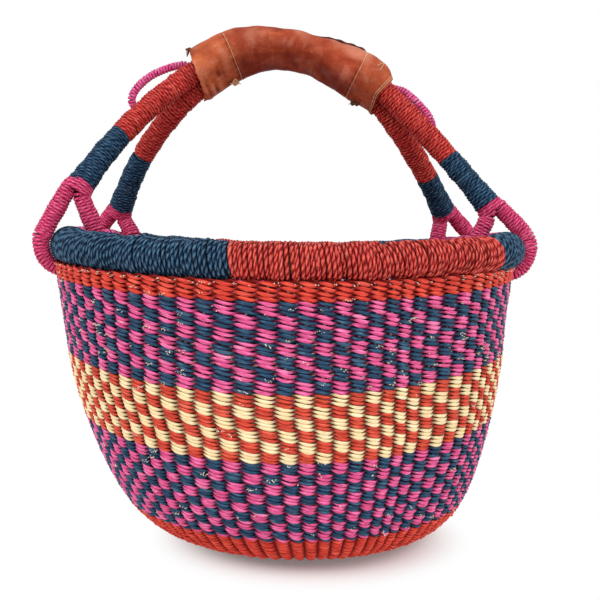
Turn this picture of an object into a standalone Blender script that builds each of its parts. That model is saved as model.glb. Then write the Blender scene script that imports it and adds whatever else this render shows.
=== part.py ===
"""A round market basket twined from grass straw, with a wrapped rim and a leather-gripped handle.

The bowl is a stack of woven colour bands, each a turned ring that is then leaned and
saddled the way a hand-woven wall is. The rim is a grass ring inside sleeves of wound
straw. The handle is two hoops that run side by side under one leather grip, and each
of their four legs forks over the rim, so that eight branches end in the wall.

Frame: metres, +Z up, origin at the middle of the flat underside. The handle spans X,
and -Y is the front.
"""

import math

import bmesh
import bpy
import numpy as np
from mathutils import Matrix, Vector

# Bowl: its overall size, and the outline as shares of that size
WALL_RADIUS = 0.1845
WALL_HEIGHT = 0.220
BASE_RADIUS = 0.0490
WALL_THICKNESS = 0.0062
# Height share, then the share of the way from the base's edge out to the full radius
OUTLINE_SHARES = (
    (0.012, 0.240),
    (0.050, 0.489),
    (0.130, 0.643),
    (0.250, 0.753),
    (0.420, 0.851),
    (0.600, 0.920),
    (0.800, 0.957),
    (1.000, 1.000),
)
# The hand-made wall leans to the left and rides up at both sides
WALL_LEAN = 0.0150
RIM_SADDLE = 0.0040
BELLY_SADDLE = 0.0060

# Shares of the wall's height at which the straw changes colour
FOOT_TOP_SHARE = 0.148
LOWER_CHECK_TOP_SHARE = 0.443
CREAM_CHECK_TOP_SHARE = 0.662
UPPER_CHECK_TOP_SHARE = 0.926

# Rim, which sits on the wall's upper edge
RIM_INSET = 0.0100
RIM_LIFT = 0.0080
RIM_RADIUS = WALL_RADIUS - RIM_INSET
RIM_LEVEL = WALL_HEIGHT + RIM_LIFT
RIM_OFFSET = 0.0124
RIM_TUBE_RADIUS = 0.0130
RIM_SWELL = 0.0016
RIM_CORE_RADIUS = 0.0084

# Handle legs and their forks
LEG_RADIUS = 0.0092
LEG_FLARE = 0.0013
WRAP_THICKNESS = 0.0034
FORK_LENGTH = 0.0078
COLLAR_LENGTH = 0.0032
BRANCH_RADIUS = 0.0067
BRANCH_ROOT_RADIUS = 0.0042
BRANCH_TIP_RADIUS = 0.0050

# Grip
GRIP_HALF_LENGTH = 0.0770
GRIP_TOP = 0.3972
GRIP_DROP = 0.0359
GRIP_OFFSET = 0.0137
GRIP_SETBACK = 0.0150
GRIP_RADIUS = 0.0145
LEATHER_THICKNESS = 0.0016
BINDING_INSET = 0.0060
# How far the back hoop lies below the front one where each end of the grip lets them out
HOOP_DROP_LEFT = 0.0090
HOOP_DROP_RIGHT = 0.0066
# How far the leather's middle lies below the front hoop there
LEATHER_DROP_LEFT = 0.0014
LEATHER_DROP_RIGHT = 0.0033

# Loop strands, which are squeezed thin under the leather
STRAND_RADIUS = 0.0033
STRAND_END_RADIUS = 0.0015

# Fits between pieces that touch
CLEARANCE = 0.0003
SEAT_GAP = 0.0005
WRAP_TUCK = 0.0042
CUTTER_OVERRUN = 0.0120

# Windings: the wound straw is thinner than its pitch by the slit
WINDING_PITCH = 0.0038
WINDING_SLIT = 0.0009
POINTS_PER_LOOP = 8.25

# Facets
WALL_SIDES = 48
HOOP_SPACING = 0.0158
PATH_STEPS = 12

# One row for each foot: side, azimuth in degrees, how far its fork stands above the rim
# and inside it as shares of the rim's thickness, its leg's bow as a share of its length,
# and the share of the leg that is blue
FEET = {
    "front_left": (-1, 196.0, 1.78, 0.30, 0.063, 0.408),
    "front_right": (1, 358.0, 1.42, 0.49, 0.020, 0.396),
    "back_left": (-1, 156.0, 1.31, 0.32, 0.065, 0.400),
    "back_right": (1, 29.0, 1.41, 0.66, 0.025, 0.324),
}
# Along the grip from end to end: place along its length, then how far it has dropped
GRIP_LINE_SHARES = (
    (-1.00, 0.627),
    (-0.80, 0.375),
    (-0.53, 0.110),
    (-0.27, 0.000),
    (0.00, 0.006),
    (0.27, 0.145),
    (0.60, 0.443),
    (0.80, 0.645),
    (1.00, 1.000),
)
# The leather is fuller near both ends than in the middle
GRIP_FULLNESS_SHARES = (1.075, 1.04, 1.04, 0.86, 0.76, 0.79, 0.94, 1.04, 0.82)
# Points of the left loop strand: share of the way from its start to its end, and its bow
LEFT_STRAND_SHARES = (
    (0.07, 0.105),
    (0.24, 0.205),
    (0.45, 0.285),
    (0.65, 0.315),
    (0.82, 0.300),
    (0.92, 0.250),
    (0.96, 0.160),
)
# Where along its leg each strand is tucked in, as a share from the fork to the grip
LEFT_TUCK_SHARE = 0.60
RIGHT_TUCK_SHARE = 0.50
# The strands lie on their legs, this many degrees behind the leg's upper side
RIGHT_STRAND_TURNS = (65, 30, 14, 12, 24, 56, 84)
LEFT_STRAND_TURNS = (55, 84)
# The legs leave the grip side by side and spread apart ever faster
SPREAD_EASE = 1.6
# How much of a leg's length thickens towards its fork
FLARED_SHARE = 0.35
# Colour sections of the rim: name, start and end azimuth in degrees, straw
RIM_SECTIONS = (
    ("rim_wrap_front_blue", 183.75, 258.75, "blue"),
    ("rim_wrap_front_red", 258.75, 326.25, "red"),
    ("rim_wrap_right_blue", 326.25, 356.25, "blue"),
    ("rim_wrap_right_pink", 356.25, 393.75, "pink"),
    ("rim_wrap_back_right_blue", 393.75, 431.25, "blue"),
    ("rim_wrap_back_red", 431.25, 476.25, "red"),
    ("rim_wrap_back_left_blue", 476.25, 506.25, "blue"),
    ("rim_wrap_left_pink", 506.25, 543.75, "pink"),
)
# Linear colour, roughness
STRAWS = {
    "red": ((0.56, 0.045, 0.035), 0.62),
    "orange": ((0.76, 0.085, 0.040), 0.62),
    "blue": ((0.012, 0.065, 0.130), 0.55),
    "pink": ((0.70, 0.040, 0.230), 0.60),
    "cream": ((0.90, 0.76, 0.33), 0.66),
    "violet": ((0.22, 0.045, 0.190), 0.60),
    "grass": ((0.62, 0.50, 0.26), 0.75),
    "leather": ((0.36, 0.085, 0.036), 0.42),
}


def clear_scene():
    for item in list(bpy.data.objects):
        bpy.data.objects.remove(item, do_unlink=True)


def make_collection(name, hidden=False):
    collection = bpy.data.collections.new(name)
    bpy.context.scene.collection.children.link(collection)
    collection.hide_render = hidden
    return collection


def make_material(name, straw):
    colour, roughness = STRAWS[straw]
    material = bpy.data.materials.new(name)
    material.use_nodes = True
    shader = material.node_tree.nodes["Principled BSDF"]
    shader.inputs["Base Color"].default_value = (*colour, 1.0)
    shader.inputs["Roughness"].default_value = roughness
    shader.inputs["Metallic"].default_value = 0.0
    material.diffuse_color = (*colour, 1.0)
    return material


def add_object(name, data, collection):
    item = bpy.data.objects.new(name, data)
    collection.objects.link(item)
    return item


def hide_cutter(cutter):
    """Keeps a cutting tool out of the finished object."""
    cutter.hide_render = True
    cutter.display_type = "WIRE"


def finish(item, straw):
    """Gives a finished piece its own material and smooth shading with crisp edges."""
    item.data.materials.clear()
    item.data.materials.append(make_material(f"{item.name}_{straw}", straw))
    if item.type == "MESH":
        item.data.shade_smooth()
        item.data.set_sharp_from_angle(angle=math.radians(40))
    return item


def evaluated_mesh(item):
    """The mesh of an object after its modifiers, with doubled points joined."""
    bpy.context.view_layer.update()
    graph = bpy.context.evaluated_depsgraph_get()
    mesh = bpy.data.meshes.new_from_object(item.evaluated_get(graph))
    mesh.transform(item.matrix_world)
    shape = bmesh.new()
    shape.from_mesh(mesh)
    bmesh.ops.remove_doubles(shape, verts=shape.verts, dist=CLEARANCE / 100)
    shape.to_mesh(mesh)
    shape.free()
    return mesh


def replace_by_mesh(item, name, collection):
    """Makes the evaluated shape a plain mesh object, and removes what it came from."""
    mesh = evaluated_mesh(item)
    bpy.data.objects.remove(item, do_unlink=True)
    return add_object(name, mesh, collection)


def smooth_path(points, steps):
    """Points along the Catmull-Rom curve through the given points."""
    knots = np.array([points[0], *points, points[-1]], float)
    knots[0] = 2 * knots[1] - knots[2]
    knots[-1] = 2 * knots[-2] - knots[-3]
    path = []
    for a, b, c, d in zip(knots, knots[1:], knots[2:], knots[3:]):
        for t in np.arange(steps) / steps:
            cubic = (3 * b - a - 3 * c + d) * t**3
            square = (2 * a - 5 * b + 4 * c - d) * t**2
            path.append((cubic + square + (c - a) * t + 2 * b) / 2)
    path.append(knots[-2])
    return np.array(path)


def lengths_along(path):
    steps = np.linalg.norm(np.diff(path, axis=0), axis=1)
    return np.concatenate([[0], np.cumsum(steps)])


def resampled(path, count, start=0, end=None):
    """Evenly spaced points of a path between two lengths along it."""
    along = lengths_along(path)
    wanted = np.linspace(start, along[-1] if end is None else end, count)
    return np.stack([np.interp(wanted, along, path[:, i]) for i in range(3)], axis=1)


def tangents_of(path):
    tangents = np.gradient(path, axis=0)
    return tangents / np.linalg.norm(tangents, axis=1)[:, None]


def unit(vector):
    return np.asarray(vector, float) / np.linalg.norm(vector)


def outline():
    """The wall's outer outline as (radius, height) pairs, from the base's edge upwards."""
    flare = WALL_RADIUS - BASE_RADIUS
    points = [(BASE_RADIUS, 0)]
    points += [(BASE_RADIUS + flare * out, WALL_HEIGHT * up) for up, out in OUTLINE_SHARES]
    lifted = [(radius, 0, height) for radius, height in points]
    return smooth_path(lifted, PATH_STEPS)[:, [0, 2]]


OUTLINE = outline()


def outline_at(height):
    return float(np.interp(height, OUTLINE[:, 1], OUTLINE[:, 0]))


def inward_normals(line):
    """Unit normals of a (radius, height) outline that point to the inside of the bowl."""
    slopes = np.gradient(line, axis=0)
    slopes /= np.linalg.norm(slopes, axis=1)[:, None]
    normals = np.stack([-slopes[:, 1], slopes[:, 0]], axis=1)
    normals[0] = (0, 1)
    return normals


def wall_profile(heights, grow=0.0):
    """Closed profile of the wall at the given heights, running down outside, up inside."""
    inner = OUTLINE + inward_normals(OUTLINE) * WALL_THICKNESS
    ranks = np.arange(len(OUTLINE))
    along = np.interp(heights, OUTLINE[:, 1], ranks)
    outside = [np.interp(along, ranks, OUTLINE[:, i]) for i in (0, 1)]
    inside = [np.interp(along, ranks, inner[:, i]) for i in (0, 1)]
    outside[0] += grow
    inside[0] -= grow
    return [*zip(outside[0][::-1], outside[1][::-1]), *zip(*inside)]


def wall_section(low, high, count, grow=0.0):
    return wall_profile(np.linspace(low, high, count), grow)


def wall_centre(height):
    rise = np.clip(height / WALL_HEIGHT, 0, None)
    return -WALL_LEAN * rise * (2 - rise)


def saddle_at(height, reach):
    """How far the wall rides up at its sides, at a height and a share of the radius."""
    rise = height / WALL_HEIGHT
    return (RIM_SADDLE * rise + BELLY_SADDLE * 4 * rise * (1 - rise)) * reach**2


def warp_wall(mesh):
    """Leans and saddles a ring that was turned straight."""
    for vertex in mesh.vertices:
        x, y, z = vertex.co
        radius = math.hypot(x, y)
        double = math.cos(2 * math.atan2(y, x))
        rise = saddle_at(z, radius / WALL_RADIUS) * double
        vertex.co = (x + wall_centre(z), y, z + rise)


def rim_point(azimuth, outwards=0, upwards=0):
    """A point in the upright plane through the rim at an azimuth, from the rim's middle."""
    angle = math.radians(azimuth)
    reach = RIM_RADIUS + outwards
    level = RIM_LEVEL + RIM_SADDLE * math.cos(2 * angle) + upwards
    return np.array([reach * math.cos(angle) - RIM_OFFSET, reach * math.sin(angle), level])


def rim_tube_at(azimuth):
    """The rim swells where the handle's feet are bound to it."""
    return RIM_TUBE_RADIUS + RIM_SWELL * math.cos(math.radians(azimuth)) ** 8


def turned(name, profile, collection, closed=True, sides=WALL_SIDES):
    """A ring or disc turned about the Z axis from a (radius, height) profile."""
    mesh = bpy.data.meshes.new(f"{name}_profile")
    points = [(radius, 0, height) for radius, height in profile]
    edges = [(i, i + 1) for i in range(len(points) - 1)]
    if closed:
        edges.append((len(points) - 1, 0))
    mesh.from_pydata(points, edges, [])
    item = add_object(f"{name}_turning", mesh, collection)
    screw = item.modifiers.new("Turn", "SCREW")
    screw.axis = "Z"
    screw.angle = 2 * math.pi
    screw.steps = sides
    screw.render_steps = sides
    screw.use_merge_vertices = not closed
    screw.merge_threshold = 0.0001
    return replace_by_mesh(item, name, collection)


def tube(name, path, radius, collection, resolution=2, shares=None, caps=True, ring=False):
    """A round tube along a path. Shares vary its radius from point to point."""
    curve = bpy.data.curves.new(name, "CURVE")
    curve.dimensions = "3D"
    curve.bevel_depth = radius
    curve.bevel_resolution = resolution
    curve.use_fill_caps = caps
    spline = curve.splines.new("POLY")
    spline.points.add(len(path) - 1)
    spline.use_cyclic_u = ring
    for i, (point, place) in enumerate(zip(spline.points, path)):
        point.co = (*place, 1.0)
        point.radius = 1.0 if shares is None else shares[i]
    return add_object(name, curve, collection)


def sleeve(name, path, radius, thickness, collection, resolution=2, shares=None):
    """An open tube with a wall of the given thickness inside its radius."""
    skin = tube(f"{name}_skin", path, radius, collection, resolution, shares, caps=False)
    item = replace_by_mesh(skin, name, collection)
    wall = item.modifiers.new("Wall", "SOLIDIFY")
    wall.thickness = thickness
    wall.offset = -1.0
    wall.use_even_offset = True
    return item


def cut(item, cutter):
    boolean = item.modifiers.new("Cut", "BOOLEAN")
    boolean.operation = "DIFFERENCE"
    boolean.solver = "EXACT"
    boolean.object = cutter


def make_bowl(parts):
    """The woven base and the five colour bands of the wall."""
    gap = CLEARANCE / 2
    edge = BASE_RADIUS - gap
    disc = [(0, WALL_THICKNESS), (edge, WALL_THICKNESS), (edge, 0), (0, 0)]
    base = turned("base_disc", disc, parts, closed=False)
    warp_wall(base.data)
    finish(base, "orange")
    foot_top = FOOT_TOP_SHARE * WALL_HEIGHT
    lower_top = LOWER_CHECK_TOP_SHARE * WALL_HEIGHT
    cream_top = CREAM_CHECK_TOP_SHARE * WALL_HEIGHT
    upper_top = UPPER_CHECK_TOP_SHARE * WALL_HEIGHT
    bands = (
        ("lower_check_band", foot_top, lower_top, 4, "pink"),
        ("cream_check_band", lower_top, cream_top, 3, "cream"),
        ("upper_check_band", cream_top, upper_top, 3, "violet"),
    )
    rises = (foot_top - gap) * np.linspace(0, 1, 6) ** 2
    foot = [(max(radius, BASE_RADIUS + gap), height) for radius, height in wall_profile(rises)]
    sections = [("foot_band", foot, "orange")]
    for name, low, high, count, straw in bands:
        sections.append((name, wall_section(low + gap, high - gap, count), straw))
    for name, section, straw in sections:
        band = turned(name, section, parts)
        warp_wall(band.data)
        finish(band, straw)
    make_top_band(parts)


def top_band_section(grow=0.0):
    """Profile of the band under the rim, up to the height of the rim's underside."""
    low = UPPER_CHECK_TOP_SHARE * WALL_HEIGHT + CLEARANCE / 2
    return wall_section(low, RIM_LEVEL - RIM_TUBE_RADIUS, 3, grow)


def seat_under_rim(mesh):
    """Warps a turned piece, and sets the edge that meets the rim to the rim's underside."""
    edge = RIM_LEVEL - RIM_TUBE_RADIUS
    top = [v.index for v in mesh.vertices if abs(v.co.z - edge) < WALL_THICKNESS / 2]
    warp_wall(mesh)
    for index in top:
        place = mesh.vertices[index].co
        place.z = rim_underside(place.x, place.y) - 2 * SEAT_GAP


def make_top_band(parts):
    """The orange band, whose top edge seats against the underside of the rim."""
    section = top_band_section()
    middle = tuple((a + b) / 2 for a, b in zip(section[0], section[-1]))
    band = turned("top_band", [*section, middle], parts)
    seat_under_rim(band.data)
    finish(band, "orange")


def rim_underside(x, y):
    """Height of the underside of the rim's sleeves above a point of the plan."""
    azimuth = math.degrees(math.atan2(y, x + RIM_OFFSET))
    tube_radius = rim_tube_at(azimuth)
    aside = math.hypot(x + RIM_OFFSET, y) - RIM_RADIUS
    depth = math.sqrt(max(tube_radius**2 - aside**2, (tube_radius / 3) ** 2))
    return rim_point(azimuth)[2] - depth


def round_fit(radius, sides):
    """Radius of a faceted bore that clears a round piece of the given radius."""
    return radius / math.cos(math.pi / sides) + CLEARANCE


def rim_arc(start, end):
    """Points of the rim's middle line from one azimuth to another, on its facets."""
    step = 360 / WALL_SIDES
    inner = np.arange(math.floor(start / step) + 1, math.ceil(end / step))
    azimuths = [start, *(inner * step), end]
    path = [rim_point(a) for a in azimuths]
    for spot, azimuth in ((0, start), (-1, end)):
        low = math.floor(azimuth / step) * step
        share = (azimuth - low) / step
        path[spot] = rim_point(low) * (1 - share) + rim_point(low + step) * share
    return path, azimuths


def make_rim(parts):
    """The grass ring and the wound sleeves of straw that cover it."""
    turn = [rim_point(360 * i / WALL_SIDES) for i in range(WALL_SIDES)]
    core = tube("rim_core", turn, RIM_CORE_RADIUS, parts, resolution=1, caps=False, ring=True)
    finish(replace_by_mesh(core, "rim_core", parts), "grass")
    trim = math.degrees(CLEARANCE / 2 / RIM_RADIUS)
    bore = round_fit(RIM_CORE_RADIUS, 10)
    for name, start, end, straw in RIM_SECTIONS:
        path, azimuths = rim_arc(start + trim, end - trim)
        shares = [rim_tube_at(a) / RIM_TUBE_RADIUS for a in azimuths]
        wrap = sleeve(name, path, RIM_TUBE_RADIUS, RIM_TUBE_RADIUS - bore, parts, 3, shares)
        finish(wrap, straw)


def grip_line():
    """The middle line of the grip, left to right, as a smooth path."""
    points = [
        (GRIP_HALF_LENGTH * along - GRIP_OFFSET, GRIP_SETBACK, GRIP_TOP - GRIP_DROP * drop)
        for along, drop in GRIP_LINE_SHARES
    ]
    return smooth_path(points, PATH_STEPS)


def upward_normals(line):
    """Unit normals of the grip's line in its upright plane, pointing up."""
    tangents = tangents_of(line)
    return np.stack([-tangents[:, 2], 0 * tangents[:, 0], tangents[:, 0]], axis=1)


def hoops_apart():
    """The distance between the middle lines of the two hoops where they lie side by side."""
    return 2 * LEG_RADIUS + 4 * CLEARANCE


def hoop_drops(count):
    """How far the back hoop lies below the front one, at points from left to right."""
    return np.linspace(HOOP_DROP_LEFT, HOOP_DROP_RIGHT, count)


def hoop_in_grip(front):
    """A hoop's middle line through the grip: the back hoop lies behind and below the front."""
    line = grip_line()
    forward = line - np.array([0, hoops_apart() / 2, 0])
    if front:
        return forward
    drops = hoop_drops(len(line))[:, None]
    behind = np.sqrt(hoops_apart() ** 2 - drops**2) * np.array([0, 1.0, 0])
    return forward + behind - upward_normals(line) * drops


def fork_of(foot):
    """Where a leg ends and its two branches begin."""
    side, azimuth, rise, inset, bow, blue = FEET[foot]
    thickness = 2 * RIM_TUBE_RADIUS
    return rim_point(azimuth, -inset * thickness, rise * thickness)


def leg_line(foot):
    """A leg's middle line from its fork to the end of the grip."""
    side, azimuth, rise, inset, bow, blue = FEET[foot]
    grip = hoop_in_grip(foot.startswith("front"))
    end = grip[-1] if side > 0 else grip[0]
    start = fork_of(foot)
    chord = end - start
    up = np.array([0, 0, 1.0])
    lift = unit(up - unit(chord) * np.dot(up, unit(chord)))
    rank = np.linspace(0, 1, 6)
    arch = 4 * rank * (1 - rank) * bow * np.linalg.norm(chord)
    points = start + chord * rank[:, None] + lift * arch[:, None]
    points[:, 1] = end[1] + (start[1] - end[1]) * (1 - rank) ** SPREAD_EASE
    return smooth_path(points, PATH_STEPS)


def hoop_line(left, right):
    """One hoop from fork to fork, through the grip."""
    grip = hoop_in_grip(left.startswith("front"))
    inner = grip[PATH_STEPS:-PATH_STEPS]
    knots = [*leg_line(left)[:: PATH_STEPS], *inner[:: PATH_STEPS], *leg_line(right)[::-PATH_STEPS]]
    return smooth_path(knots, PATH_STEPS)


def hoop_path(left, right):
    """The hoop's middle line as the few points that its pieces are all built on."""
    line = hoop_line(left, right)
    return resampled(line, round(lengths_along(line)[-1] / HOOP_SPACING) + 1)


def along_hoop(foot):
    """The hoop as it runs up from a foot, with the length at which its leg meets the grip."""
    front = foot.startswith("front")
    path = hoop_path("front_left", "front_right") if front else hoop_path("back_left", "back_right")
    right = FEET[foot][0] > 0
    if right:
        path = path[::-1]
    end = hoop_in_grip(front)[-1 if right else 0]
    fine = resampled(path, len(path) * PATH_STEPS)
    nearest = int(np.argmin(np.linalg.norm(fine - end, axis=1)))
    return path, lengths_along(fine)[nearest]


def stretch(path, start, end):
    """The part of a path between two lengths along it, with the path's own points."""
    along = lengths_along(path)
    inner = path[(along > start + CLEARANCE) & (along < end - CLEARANCE)]
    ends = [[np.interp(at, along, path[:, i]) for i in range(3)] for at in (start, end)]
    return np.array([ends[0], *inner, ends[1]])


def core_radius():
    return (LEG_RADIUS - WRAP_THICKNESS - CLEARANCE) * math.cos(math.pi / 8)


def make_hoops(parts):
    """The two grass hoops, each in one piece from fork to fork."""
    for name, left, right in (
        ("front_hoop_core", "front_left", "front_right"),
        ("back_hoop_core", "back_left", "back_right"),
    ):
        core = tube(name, hoop_path(left, right), core_radius(), parts)
        finish(replace_by_mesh(core, name, parts), "grass")


def flare_at(share):
    """A leg thickens towards its fork, where the two halves of the bundle part."""
    return 1 + LEG_FLARE / LEG_RADIUS * max(0.0, 1 - share / FLARED_SHARE) ** 2


def winding(name, fine, leg, start, end, parts, lead):
    """Straw wound round a stretch of a leg, as one unbroken helical tube."""
    straw = (WINDING_PITCH - WINDING_SLIT) / 2
    loops = int((end - start) / WINDING_PITCH) - 1
    count = int(loops * POINTS_PER_LOOP) + 1
    along = np.linspace(start + straw, end - straw, count)
    lengths = lengths_along(fine)
    tangents = tangents_of(fine)
    centres = np.stack([np.interp(along, lengths, fine[:, i]) for i in range(3)], axis=1)
    axes = np.stack([np.interp(along, lengths, tangents[:, i]) for i in range(3)], axis=1)
    points = []
    for i, (centre, axis) in enumerate(zip(centres, axes)):
        side = unit(np.cross(axis, (0, 0, 1.0)))
        over = np.cross(axis, side)
        turn = 2 * math.pi * i / POINTS_PER_LOOP + lead
        reach = LEG_RADIUS * flare_at(along[i] / leg) - straw
        points.append(centre + reach * (math.cos(turn) * side + math.sin(turn) * over))
    first = points[0] + unit(points[0] - points[1]) * straw * 2
    last = points[-1] + unit(points[-1] - points[-2]) * straw * 2
    points = [first, *points, last]
    report_gap(name, np.array(points), straw)
    return tube(name, points, straw, parts, resolution=1)


def report_gap(name, points, straw):
    """Prints the least gap between neighbouring loops, measured on the path's points."""
    starts = points[:-1]
    spans = np.diff(points, axis=0)
    least = math.inf
    skip = int(POINTS_PER_LOOP / 2)
    for share in (0.0, 0.25, 0.5, 0.75):
        spots = starts + spans * share
        for i, spot in enumerate(spots):
            far = np.abs(np.arange(len(starts)) - i) > skip
            offset = spot - starts[far]
            reach = np.clip((offset * spans[far]).sum(1) / (spans[far] ** 2).sum(1), 0, 1)
            near = np.linalg.norm(offset - spans[far] * reach[:, None], axis=1)
            least = min(least, near.min())
    gap = least - 2 * straw
    print(f"{name}: straw {2e3 * straw:.2f} mm, least gap between loops {1e3 * gap:.2f} mm")


def make_leg_wraps(parts):
    """Red straw from the grip down, then blue straw down to the fork, on all four legs."""
    for foot, (side, azimuth, rise, inset, bow, blue) in FEET.items():
        line, leg = along_hoop(foot)
        border = leg * blue
        top = leg + WRAP_TUCK
        spans = (
            (f"{foot}_red_wrap", border + CLEARANCE / 2, top, "red"),
            (f"{foot}_blue_wrap", 0, border - CLEARANCE / 2, "blue"),
        )
        for name, start, end, straw in spans:
            if foot.startswith("front"):
                smooth = hoop_line("front_left", "front_right")[::-side]
                lead = math.radians(azimuth)
                item = winding(name, smooth, leg, start, end, parts, lead)
                item = replace_by_mesh(item, name, parts)
            else:
                path = stretch(line, start, end)
                shares = [flare_at(at / leg) for at in start + lengths_along(path)]
                item = sleeve(name, path, LEG_RADIUS, WRAP_THICKNESS, parts, 2, shares)
            finish(item, straw)


def fork_frame(foot):
    """The fork's place, the direction up its leg, and the direction across its branches."""
    line, leg = along_hoop(foot)
    start = line[0]
    up = unit(line[1] - line[0])
    azimuth = math.radians(FEET[foot][1])
    outwards = np.array([math.cos(azimuth), math.sin(azimuth), 0])
    across = unit(outwards - up * np.dot(outwards, up))
    return start, up, across


def branch_line(foot, outer):
    """The route of a branch from the fork, round the rim, to the wall, with its radii."""
    start, up, across = fork_frame(foot)
    way = 1 if outer else -1
    half = (BRANCH_ROOT_RADIUS + BRANCH_RADIUS) / 2
    stub = [
        start - up * SEAT_GAP + across * way * (BRANCH_ROOT_RADIUS + SEAT_GAP),
        start - up * FORK_LENGTH / 4 + across * way * (BRANCH_ROOT_RADIUS + SEAT_GAP),
        start - up * FORK_LENGTH + across * way * (half + SEAT_GAP),
    ]
    azimuth = math.degrees(math.atan2(stub[-1][1], stub[-1][0] + RIM_OFFSET))
    middle = rim_point(azimuth)
    outwards = rim_point(azimuth, 1) - middle
    reach = rim_tube_at(azimuth) + BRANCH_RADIUS + 2 * SEAT_GAP
    offset = stub[-1] - middle
    aside = np.dot(offset, outwards)
    slack = math.acos(min(1.0, reach / math.hypot(aside, offset[2])))
    first = math.degrees(math.atan2(offset[2], aside) - way * slack)
    thinning = np.linspace(0, BRANCH_RADIUS - BRANCH_TIP_RADIUS, 7)
    reaches = reach - thinning
    level = middle[2] - reaches[-1]
    wall = outline_at(level) + (wall_centre(level) + RIM_OFFSET) * outwards[0]
    under_wall = math.degrees(math.acos((wall - WALL_THICKNESS / 2 - RIM_RADIUS) / reaches[-1]))
    turns = np.linspace(first, -under_wall if outer else 360 - under_wall, 7)
    arc = [
        rim_point(azimuth, far * math.cos(angle), far * math.sin(angle))
        for far, angle in zip(reaches, np.radians(turns))
    ]
    round_rim = smooth_path([*stub[1:], *arc], PATH_STEPS)[PATH_STEPS:]
    path = np.array([*stub[:2], *resampled(round_rim, 11)])
    along = lengths_along(path)
    swell = (BRANCH_RADIUS - BRANCH_ROOT_RADIUS) * np.clip(along / (1.6 * FORK_LENGTH), 0, 1)
    bend = lengths_along(np.array(arc))[-1]
    past = np.clip((along - along[-1] + bend) / bend, 0, 1)
    return path, BRANCH_ROOT_RADIUS + swell - (BRANCH_RADIUS - BRANCH_TIP_RADIUS) * past


def wall_cutters(cutters):
    """All the room inside the wall's outer face, and all the room outside its inner face."""
    low = CREAM_CHECK_TOP_SHARE * WALL_HEIGHT + CLEARANCE / 2
    border = UPPER_CHECK_TOP_SHARE * WALL_HEIGHT - CLEARANCE / 2
    high = WALL_HEIGHT + CUTTER_OVERRUN
    top_band = top_band_section(SEAT_GAP)
    check = wall_section(low, border, 3, SEAT_GAP)
    outside = top_band[:3] + check[:3]
    inside = check[3:] + top_band[3:]
    plug = [(0, high), (outside[0][0], high), *outside, (0, low)]
    within = turned("cutter_within_wall", plug, cutters, closed=False)
    far = WALL_RADIUS + CUTTER_OVERRUN
    ring = [(far, high), (far, low), *inside, (inside[-1][0], high)]
    beyond = turned("cutter_beyond_wall", ring, cutters)
    for cutter in (within, beyond):
        seat_under_rim(cutter.data)
        hide_cutter(cutter)
    return within, beyond


def make_branches(parts, cutters):
    """Eight branches that straddle the rim in pairs and end against the wall."""
    within, beyond = wall_cutters(cutters)
    for foot in FEET:
        for outer in (True, False):
            name = f"{foot}_{'outer' if outer else 'inner'}_branch"
            path, radii = branch_line(foot, outer)
            shares = radii / BRANCH_RADIUS
            branch = tube(f"{name}_curve", path, BRANCH_RADIUS, parts, 2, shares)
            branch = replace_by_mesh(branch, name, parts)
            cut(branch, within if outer else beyond)
            finish(branch, "pink")


def make_fork_collars(parts):
    """The first turns of pink straw, which bind both branches together under each leg."""
    for foot in FEET:
        start, up, across = fork_frame(foot)
        wide = BRANCH_ROOT_RADIUS + BRANCH_RADIUS + 2 * SEAT_GAP + WRAP_THICKNESS / 2
        narrow = 2 * BRANCH_ROOT_RADIUS + 2 * SEAT_GAP + WRAP_THICKNESS / 2
        shape = bmesh.new()
        bmesh.ops.create_cone(
            shape,
            cap_ends=False,
            segments=16,
            radius1=wide,
            radius2=narrow,
            depth=COLLAR_LENGTH - SEAT_GAP,
        )
        thin = np.cross(up, across)
        slim = (BRANCH_RADIUS + WRAP_THICKNESS / 2) / narrow
        middle = start - up * (COLLAR_LENGTH + SEAT_GAP) / 2
        turn = Matrix((across, thin * slim, up)).transposed().to_4x4()
        shape.transform(Matrix.Translation(Vector(middle)) @ turn)
        bmesh.ops.recalc_face_normals(shape, faces=shape.faces)
        mesh = bpy.data.meshes.new(f"{foot}_fork_wrap")
        shape.to_mesh(mesh)
        shape.free()
        collar = add_object(f"{foot}_fork_wrap", mesh, parts)
        wall = collar.modifiers.new("Wall", "SOLIDIFY")
        wall.thickness = WRAP_THICKNESS / 2 - CLEARANCE
        wall.offset = -1.0
        wall.use_even_offset = True
        finish(collar, "pink")


def make_grip(parts, cutters):
    """The leather grip, and the straw binding that holds the two hoops together inside it."""
    line = grip_line()
    drops = np.linspace(LEATHER_DROP_LEFT, LEATHER_DROP_RIGHT, len(line))
    line -= upward_normals(line) * drops[:, None]
    path = resampled(line, 13)
    skin = tube("leather_skin", path, GRIP_RADIUS, parts, 4, caps=False)
    leather = replace_by_mesh(skin, "leather_grip", parts)
    shape_grip(leather.data, path, fullness_along(line, path) * GRIP_RADIUS)
    wall = leather.modifiers.new("Wall", "SOLIDIFY")
    wall.thickness = LEATHER_THICKNESS
    wall.offset = -1.0
    wall.use_even_offset = True
    finish(leather, "leather")

    total = lengths_along(line)[-1]
    path = resampled(line, 9, BINDING_INSET, total - BINDING_INSET)
    filler = tube("binding_curve", path, GRIP_RADIUS, parts, 4)
    binding = replace_by_mesh(filler, "grip_binding", parts)
    radii = fullness_along(line, path) * GRIP_RADIUS - LEATHER_THICKNESS - 2 * SEAT_GAP
    shape_grip(binding.data, path, radii)
    for name, left, right in (
        ("cutter_front_hoop", "front_left", "front_right"),
        ("cutter_back_hoop", "back_left", "back_right"),
    ):
        bore = tube(name, hoop_path(left, right), core_radius() + CLEARANCE, cutters)
        bore = replace_by_mesh(bore, name, cutters)
        hide_cutter(bore)
        cut(binding, bore)
    finish(binding, "grass")


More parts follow.
